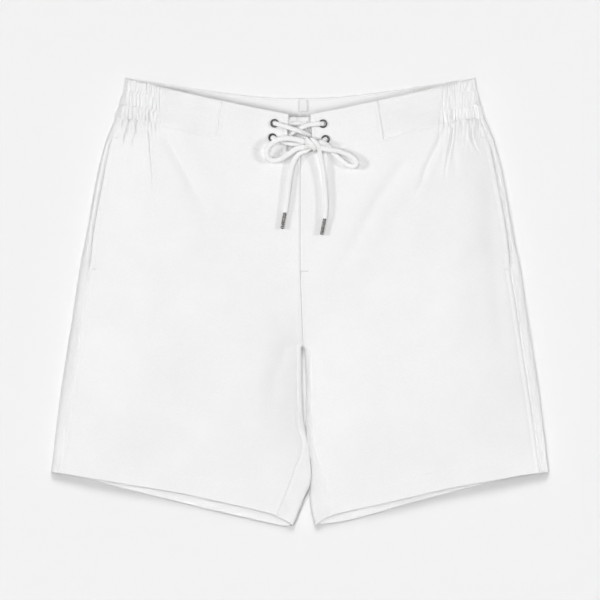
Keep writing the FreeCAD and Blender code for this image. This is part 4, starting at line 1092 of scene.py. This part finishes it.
# ------------------------------------------------------------------ fly
def shield(y, x):
    k = step(160.0, 169.0, y)
    z = lerp(20.8, T - 8.0, k) + 1.5 * np.exp(-((y - 180.3) / 2.6) ** 2) * step(-15.0, -12.0, x) * (1 - step(12.0, 15.0, x))
    z = z - 1.6 * k * step(8.4, 10.6, x) * (1 - step(13.5, 17.0, x)) - 1.3 * k * (1 - step(-3.4, -2.2, x))
    return z + 0.12 * noise(x, y, 14, 71)


t = np.linspace(0, 1, 90)
yy = lerp(FLY_LOW + 2, 194.0, t)
k = step(146.0, 160.0, yy)
left = lerp(-28.0, -17.0, k)
X = left[:, None] + (31.0 - left)[:, None] * np.linspace(0, 1, 60)[None, :]
YY = np.repeat(yy[:, None], 60, axis=1)
P = np.stack([X, YY, shield(YY, X)], axis=2)
v, f = shell(P, 0.7, 1.0, rims=(ROUND, ROUND, DOUBLE, ROUND))
ob = mesh_object("fly_shield", v * MM, f, SHELL)
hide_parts("fly_underlap")

P = level_grid(-1, -0.4, -0.4, 34.0, 26.0, lambda u: 153.0 + 0 * u, lambda u: FLY_LOW + 0.012 * u * u, T - 1.45, 60, 24,
               lambda u, y, t: 0.08 * noise(u, y, 12, 72))
v, f = shell(P, 0.65, 1.0)
ob = mesh_object("fly_facing_cloth", v * MM, f, SHELL)
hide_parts("fly_facing")
for name, node, z in (("fly_loops", "fly_loop_tape", 23.55), ("fly_hooks", "fly_hook_tape", 22.15)):
    x = np.linspace(-24, -8, 30)[None, :]
    y = np.linspace(48, 144, 120)[:, None]
    rng = np.random.default_rng(5)
    P = np.stack([x + 0 * y, y + 0 * x, z + 0 * x * y + 0.18 * rng.random((120, 30)) - 0.15], axis=2)
    v, f = shell(P, 0.8, 1.0)
    ob = mesh_object(name, v * MM, f, TAPE)
    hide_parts(node)


# ------------------------------------------------------------------ pockets, inside
def bag(side, drop, u_from, u_to, y_low, y_high, rows, cols, seed):
    t = np.linspace(0, 1, rows)[:, None]
    s = np.linspace(0, 1, cols)[None, :]
    y = lerp(y_low, y_high, t) + 0 * s
    for _ in range(8):
        near = side_seam(y) - u_from
        k = np.maximum(0.0, (y_low + 45.0 - y) / 45.0)
        far = side_seam(y) - (u_to - 30.0 * k * k)
        u = lerp(far, near, s)
        y = lerp(y_low, np.minimum(y_high, band_seam(u) - 1.0), t)
    return np.stack([side * u, y, front_z(side, u, y) - drop + 0.10 * noise(side * u, y, 18, seed)], axis=2)


for side, word in REST.items():
    out = 1.0 if side > 0 else -1.0
    for name, node, args, mat, slot, size in (
            ("pocket_front_", "pocket_bag_front_", (1.75, 3.0, 128.0, -28.0, 176.0, 70, 46, 81), LINING, "lining_cloth", (0.126, 0.205, 0.024)),
            ("pocket_edge_", "pocket_facing_", (2.85, 1.2, 45.0, 23.0, 176.0, 60, 20, 82), SHELL, "shell_cloth", (0.044, 0.154, 0.0064)),
            ("pocket_back_", "pocket_bag_back_", (3.95, 3.0, 128.0, -28.0, 176.0, 70, 46, 83), LINING, "lining_cloth", (0.126, 0.205, 0.024))):
        P = bag(side, *args)
        v, f = shell(P, 0.6, out)
        ob = mesh_object(name + word, v * MM, f, mat)
        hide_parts(node + word)


# ------------------------------------------------------------------ stitches
def stitch_row(pts, lift, pitch=3.0, length=2.1, r=0.24):
    """Short threads end to end along the points (n, 3), their middles lifted clear of the cloth."""
    p = np.asarray(pts, float)
    s = np.concatenate([[0], np.cumsum(np.linalg.norm(np.diff(p, axis=0), axis=1))])
    out = []
    ring = np.array([(math.cos(a), math.sin(a)) for a in np.arange(6) * pi / 3])
    for c in np.arange(pitch, s[-1] - pitch, pitch):
        mid = [np.interp(c + q * length / 2, s, p[:, k]) for q in (-1, -0.55, 0, 0.55, 1) for k in range(3)]
        mid = np.array(mid).reshape(5, 3)
        tan = mid[-1] - mid[0]
        tan /= max(np.linalg.norm(tan), 1e-9)
        side_ = np.cross((0, 0, 1.0), tan)
        side_ /= max(np.linalg.norm(side_), 1e-9)
        up = np.cross(tan, side_)
        if up[2] < 0:
            up = -up
        up = up * (1 if lift > 0 else -1)
        rows = []
        for q, (rr, hh) in enumerate(((0.35, -0.25), (0.85, 0.05), (1.0, 0.12), (0.85, 0.05), (0.35, -0.25))):
            o = mid[q] + up * (abs(lift) + hh)
            rows.append(o + (ring[:, :1] * side_ + ring[:, 1:] * up) * r * rr)
        v = np.concatenate(rows)
        f = [[i * 6 + j, i * 6 + (j + 1) % 6, (i + 1) * 6 + (j + 1) % 6, (i + 1) * 6 + j] for i in range(4) for j in range(6)]
        f += [list(range(6))[::-1], [24 + j for j in range(6)]]
        out.append((v, f))
    return out


def on_front(side, u, y, lift=0.06):
    u, y = np.asarray(u, float), np.asarray(y, float)
    return np.stack([side * u, y, front_height(side, u, y) + lift], axis=1)


for side, word in REST.items():
    rows = []
    # hem
    u = np.linspace(float(front_end(side, -212.0)) + 2, 250, 500)
    y = hem_front[side](u) + 21.0
    ok = (u < side_seam(y) - 1.0) & (u > front_end(side, y) + 1.0)
    rows += stitch_row(on_front(side, u[ok], y[ok]), 0.05, pitch=3.2)
    # pocket mouth, 5 mm inside the edge, and the side seam's lap below it
    y = np.linspace(POCKET_LOW - 2, POCKET_TOP - 2, 260)
    rows += stitch_row(on_front(side, side_seam(y) - 5.2, y), 0.05)
    y = np.linspace(-170, POCKET_LOW - 6, 400)
    rows += stitch_row(on_front(side, side_seam(y) - 5.6, y), 0.05)
    # below the band
    u = np.linspace(16, 186, 360)
    y = band_seam(u) - 2.2
    rows += stitch_row(on_front(side, u, y), 0.05)
    # inseam and seat seam
    y = np.linspace(-190, -58, 300)
    rows += stitch_row(on_front(side, front_end(side, y) + 4.6, y), 0.05)
    y = np.linspace(-38, FLY_LOW - 3, 150)
    rows += stitch_row(on_front(side, side * centre_x(y) + 2.5, y), 0.05)
    if side < 0:
        y = np.linspace(FLY_LOW + 2, 154, 260)
        rows += stitch_row(on_front(side, side * centre_x(y) + 2.0, y), 0.05)
    v, f = join_parts(rows)
    ob = mesh_object("stitches_front_" + word, v * MM, f, THREAD)

    # band tab: a row at its outer end, rows along the top and the front edge
    rows = []
    gt, gl = GAP_TOP[side], GAP_LOW[side]
    q = np.linspace(0.03, 0.97, 90)
    for inset in (3.6,):
        uu = lerp(END_TOP, END_LOW, q) - inset
        rows += stitch_row(np.stack([side * uu, lerp(waist_front(uu), band_seam(uu), q), np.full(90, T - 0.25)], axis=1), 0.1)
    uu = lerp(gt, gl, q) + 4.2
    rows += stitch_row(np.stack([side * uu, lerp(waist_front(uu), band_seam(uu), q), np.full(90, T - 0.2)], axis=1), 0.1)
    uu = np.linspace(gt + 3, END_TOP - 3, 150)
    rows += stitch_row(np.stack([side * uu, waist_front(uu) - 5.0, np.full(150, T - 0.15)], axis=1), 0.1)
    v, f = join_parts(rows)
    ob = mesh_object("stitches_tab_" + word, v * MM, f, THREAD)

# bar tacks: a dense zigzag of thread
TACKS = [(-191.0, 173.0, 0.3, 7.0), (-215.2, 34.6, 0.1, 7.0), (191.0, 173.0, -0.3, 7.0), (215.2, 34.6, -0.1, 7.0), (4.6, 32.2, 0.0, 7.5)]
rows = []
for x, y, ang, length in TACKS:
    side = 1 if x > 0 else -1
    a, b = np.array([math.cos(ang), math.sin(ang), 0]), np.array([-math.sin(ang), math.cos(ang), 0])
    z = float(front_height(side, np.array([abs(x)]), np.array([y]))[0])
    c = np.array([x, y, max(z, float(front_z(side, np.array([abs(x)]), np.array([y]))[0]))])
    n = int(length / 0.42)
    zig = [c + a * ((i / n - 0.5) * length) + b * (0.85 if i % 2 else -0.85) + np.array([0, 0, 0.16]) for i in range(n + 1)]
    ring = lambda i, n_, s: np.stack([np.cos(np.arange(6) * pi / 3) * 0.24, np.sin(np.arange(6) * pi / 3) * 0.24], axis=1)
    rows.append(tube_mesh(spaced(np.array(zig), 0.3), ring))
v, f = join_parts(rows)
tack = mesh_object("tack_threads", v * MM, f, THREAD)
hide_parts("bar_tacks")

# ------------------------------------------------------------------ floor and light
floor = bpy.data.objects.new("floor", bpy.data.meshes.new("floor"))
floor.data.from_pydata([(-4, -4, -0.0004), (4, -4, -0.0004), (4, 4, -0.0004), (-4, 4, -0.0004)], [], [(0, 1, 2, 3)])
bpy.context.scene.collection.objects.link(floor)
fm, nt, bsdf = node_material("floor_paint")
n1 = nt.nodes.new("ShaderNodeTexNoise")
n1.inputs["Scale"].default_value = 3.0
ramp = nt.nodes.new("ShaderNodeValToRGB")
ramp.color_ramp.elements[0].color = (0.764, 0.764, 0.764, 1)
ramp.color_ramp.elements[1].color = (0.772, 0.772, 0.772, 1)
nt.links.new(n1.outputs["Fac"], ramp.inputs["Fac"])
nt.links.new(ramp.outputs["Color"], bsdf.inputs["Base Color"])
bsdf.inputs["Roughness"].default_value = 0.9
bsdf.inputs["Specular IOR Level"].default_value = 0.1
floor.data.materials.append(fm)

FILL = 0.185
world = bpy.data.worlds.new("world")
world.use_nodes = True
world.node_tree.nodes["Background"].inputs["Color"].default_value = (1, 1, 1, 1)
world.node_tree.nodes["Background"].inputs["Strength"].default_value = FILL
bpy.context.scene.world = world
bpy.context.scene.view_settings.view_transform = "Standard"
bpy.context.scene.view_settings.look = "None"


def soft_sun(name, toward, spread, share):
    """A wide soft source in a direction, giving this share of the level surface's light."""
    la = bpy.data.lights.new(name, "SUN")
    la.angle = math.radians(spread)
    d = Vector(toward).normalized()
    la.energy = share * pi / d.z
    ob = bpy.data.objects.new(name, la)
    bpy.context.scene.collection.objects.link(ob)
    ob.rotation_euler = d.to_track_quat("Z", "Y").to_euler()
    ob.location = d * 3
    return ob


def lights_only(lamp, name, obs, leave_out=False):
    """The lamp reaches only these objects, or all but these."""
    group = bpy.data.collections.new(name)
    for ob in obs:
        group.objects.link(ob)
    lamp.light_linking.receiver_collection = group
    if leave_out:
        for item in group.collection_objects:
            item.light_linking.link_state = "EXCLUDE"


folded = [bpy.data.objects[n + w] for n in ("back_", "band_side_") for w in ("right", "left")]
soft_sun("overhead", (-0.17, 0.0, 1.0), 34, 0.53)
for name, toward, spread, share in (("left", (-1.65, 0.15, 1.0), 9, 0.200), ("right", (1.65, 0.10, 1.0), 9, 0.170)):
    lights_only(soft_sun(name, toward, spread, share), name + "_reach", [floor] + folded, leave_out=True)
lights_only(soft_sun("folds", (0.34, 0.02, 1.0), 34, 0.350), "folds_reach", folded)
lights_only(soft_sun("near", (0.05, -1.1, 1.0), 20, 0.030), "near_reach", [floor], leave_out=True)
lights_only(soft_sun("gap", (0.0, 0.0, 1.0), 14, 0.130), "gap_reach", [bpy.data.objects["fly_shield"]])
for name, toward, spread, share in (("floor_far", (0.0, 0.95, 1.0), 26, 0.370), ("floor_wide", (0.0, 0.0, 1.0), 120, 0.080)):
    lights_only(soft_sun(name, toward, spread, share), name + "_reach", [floor])
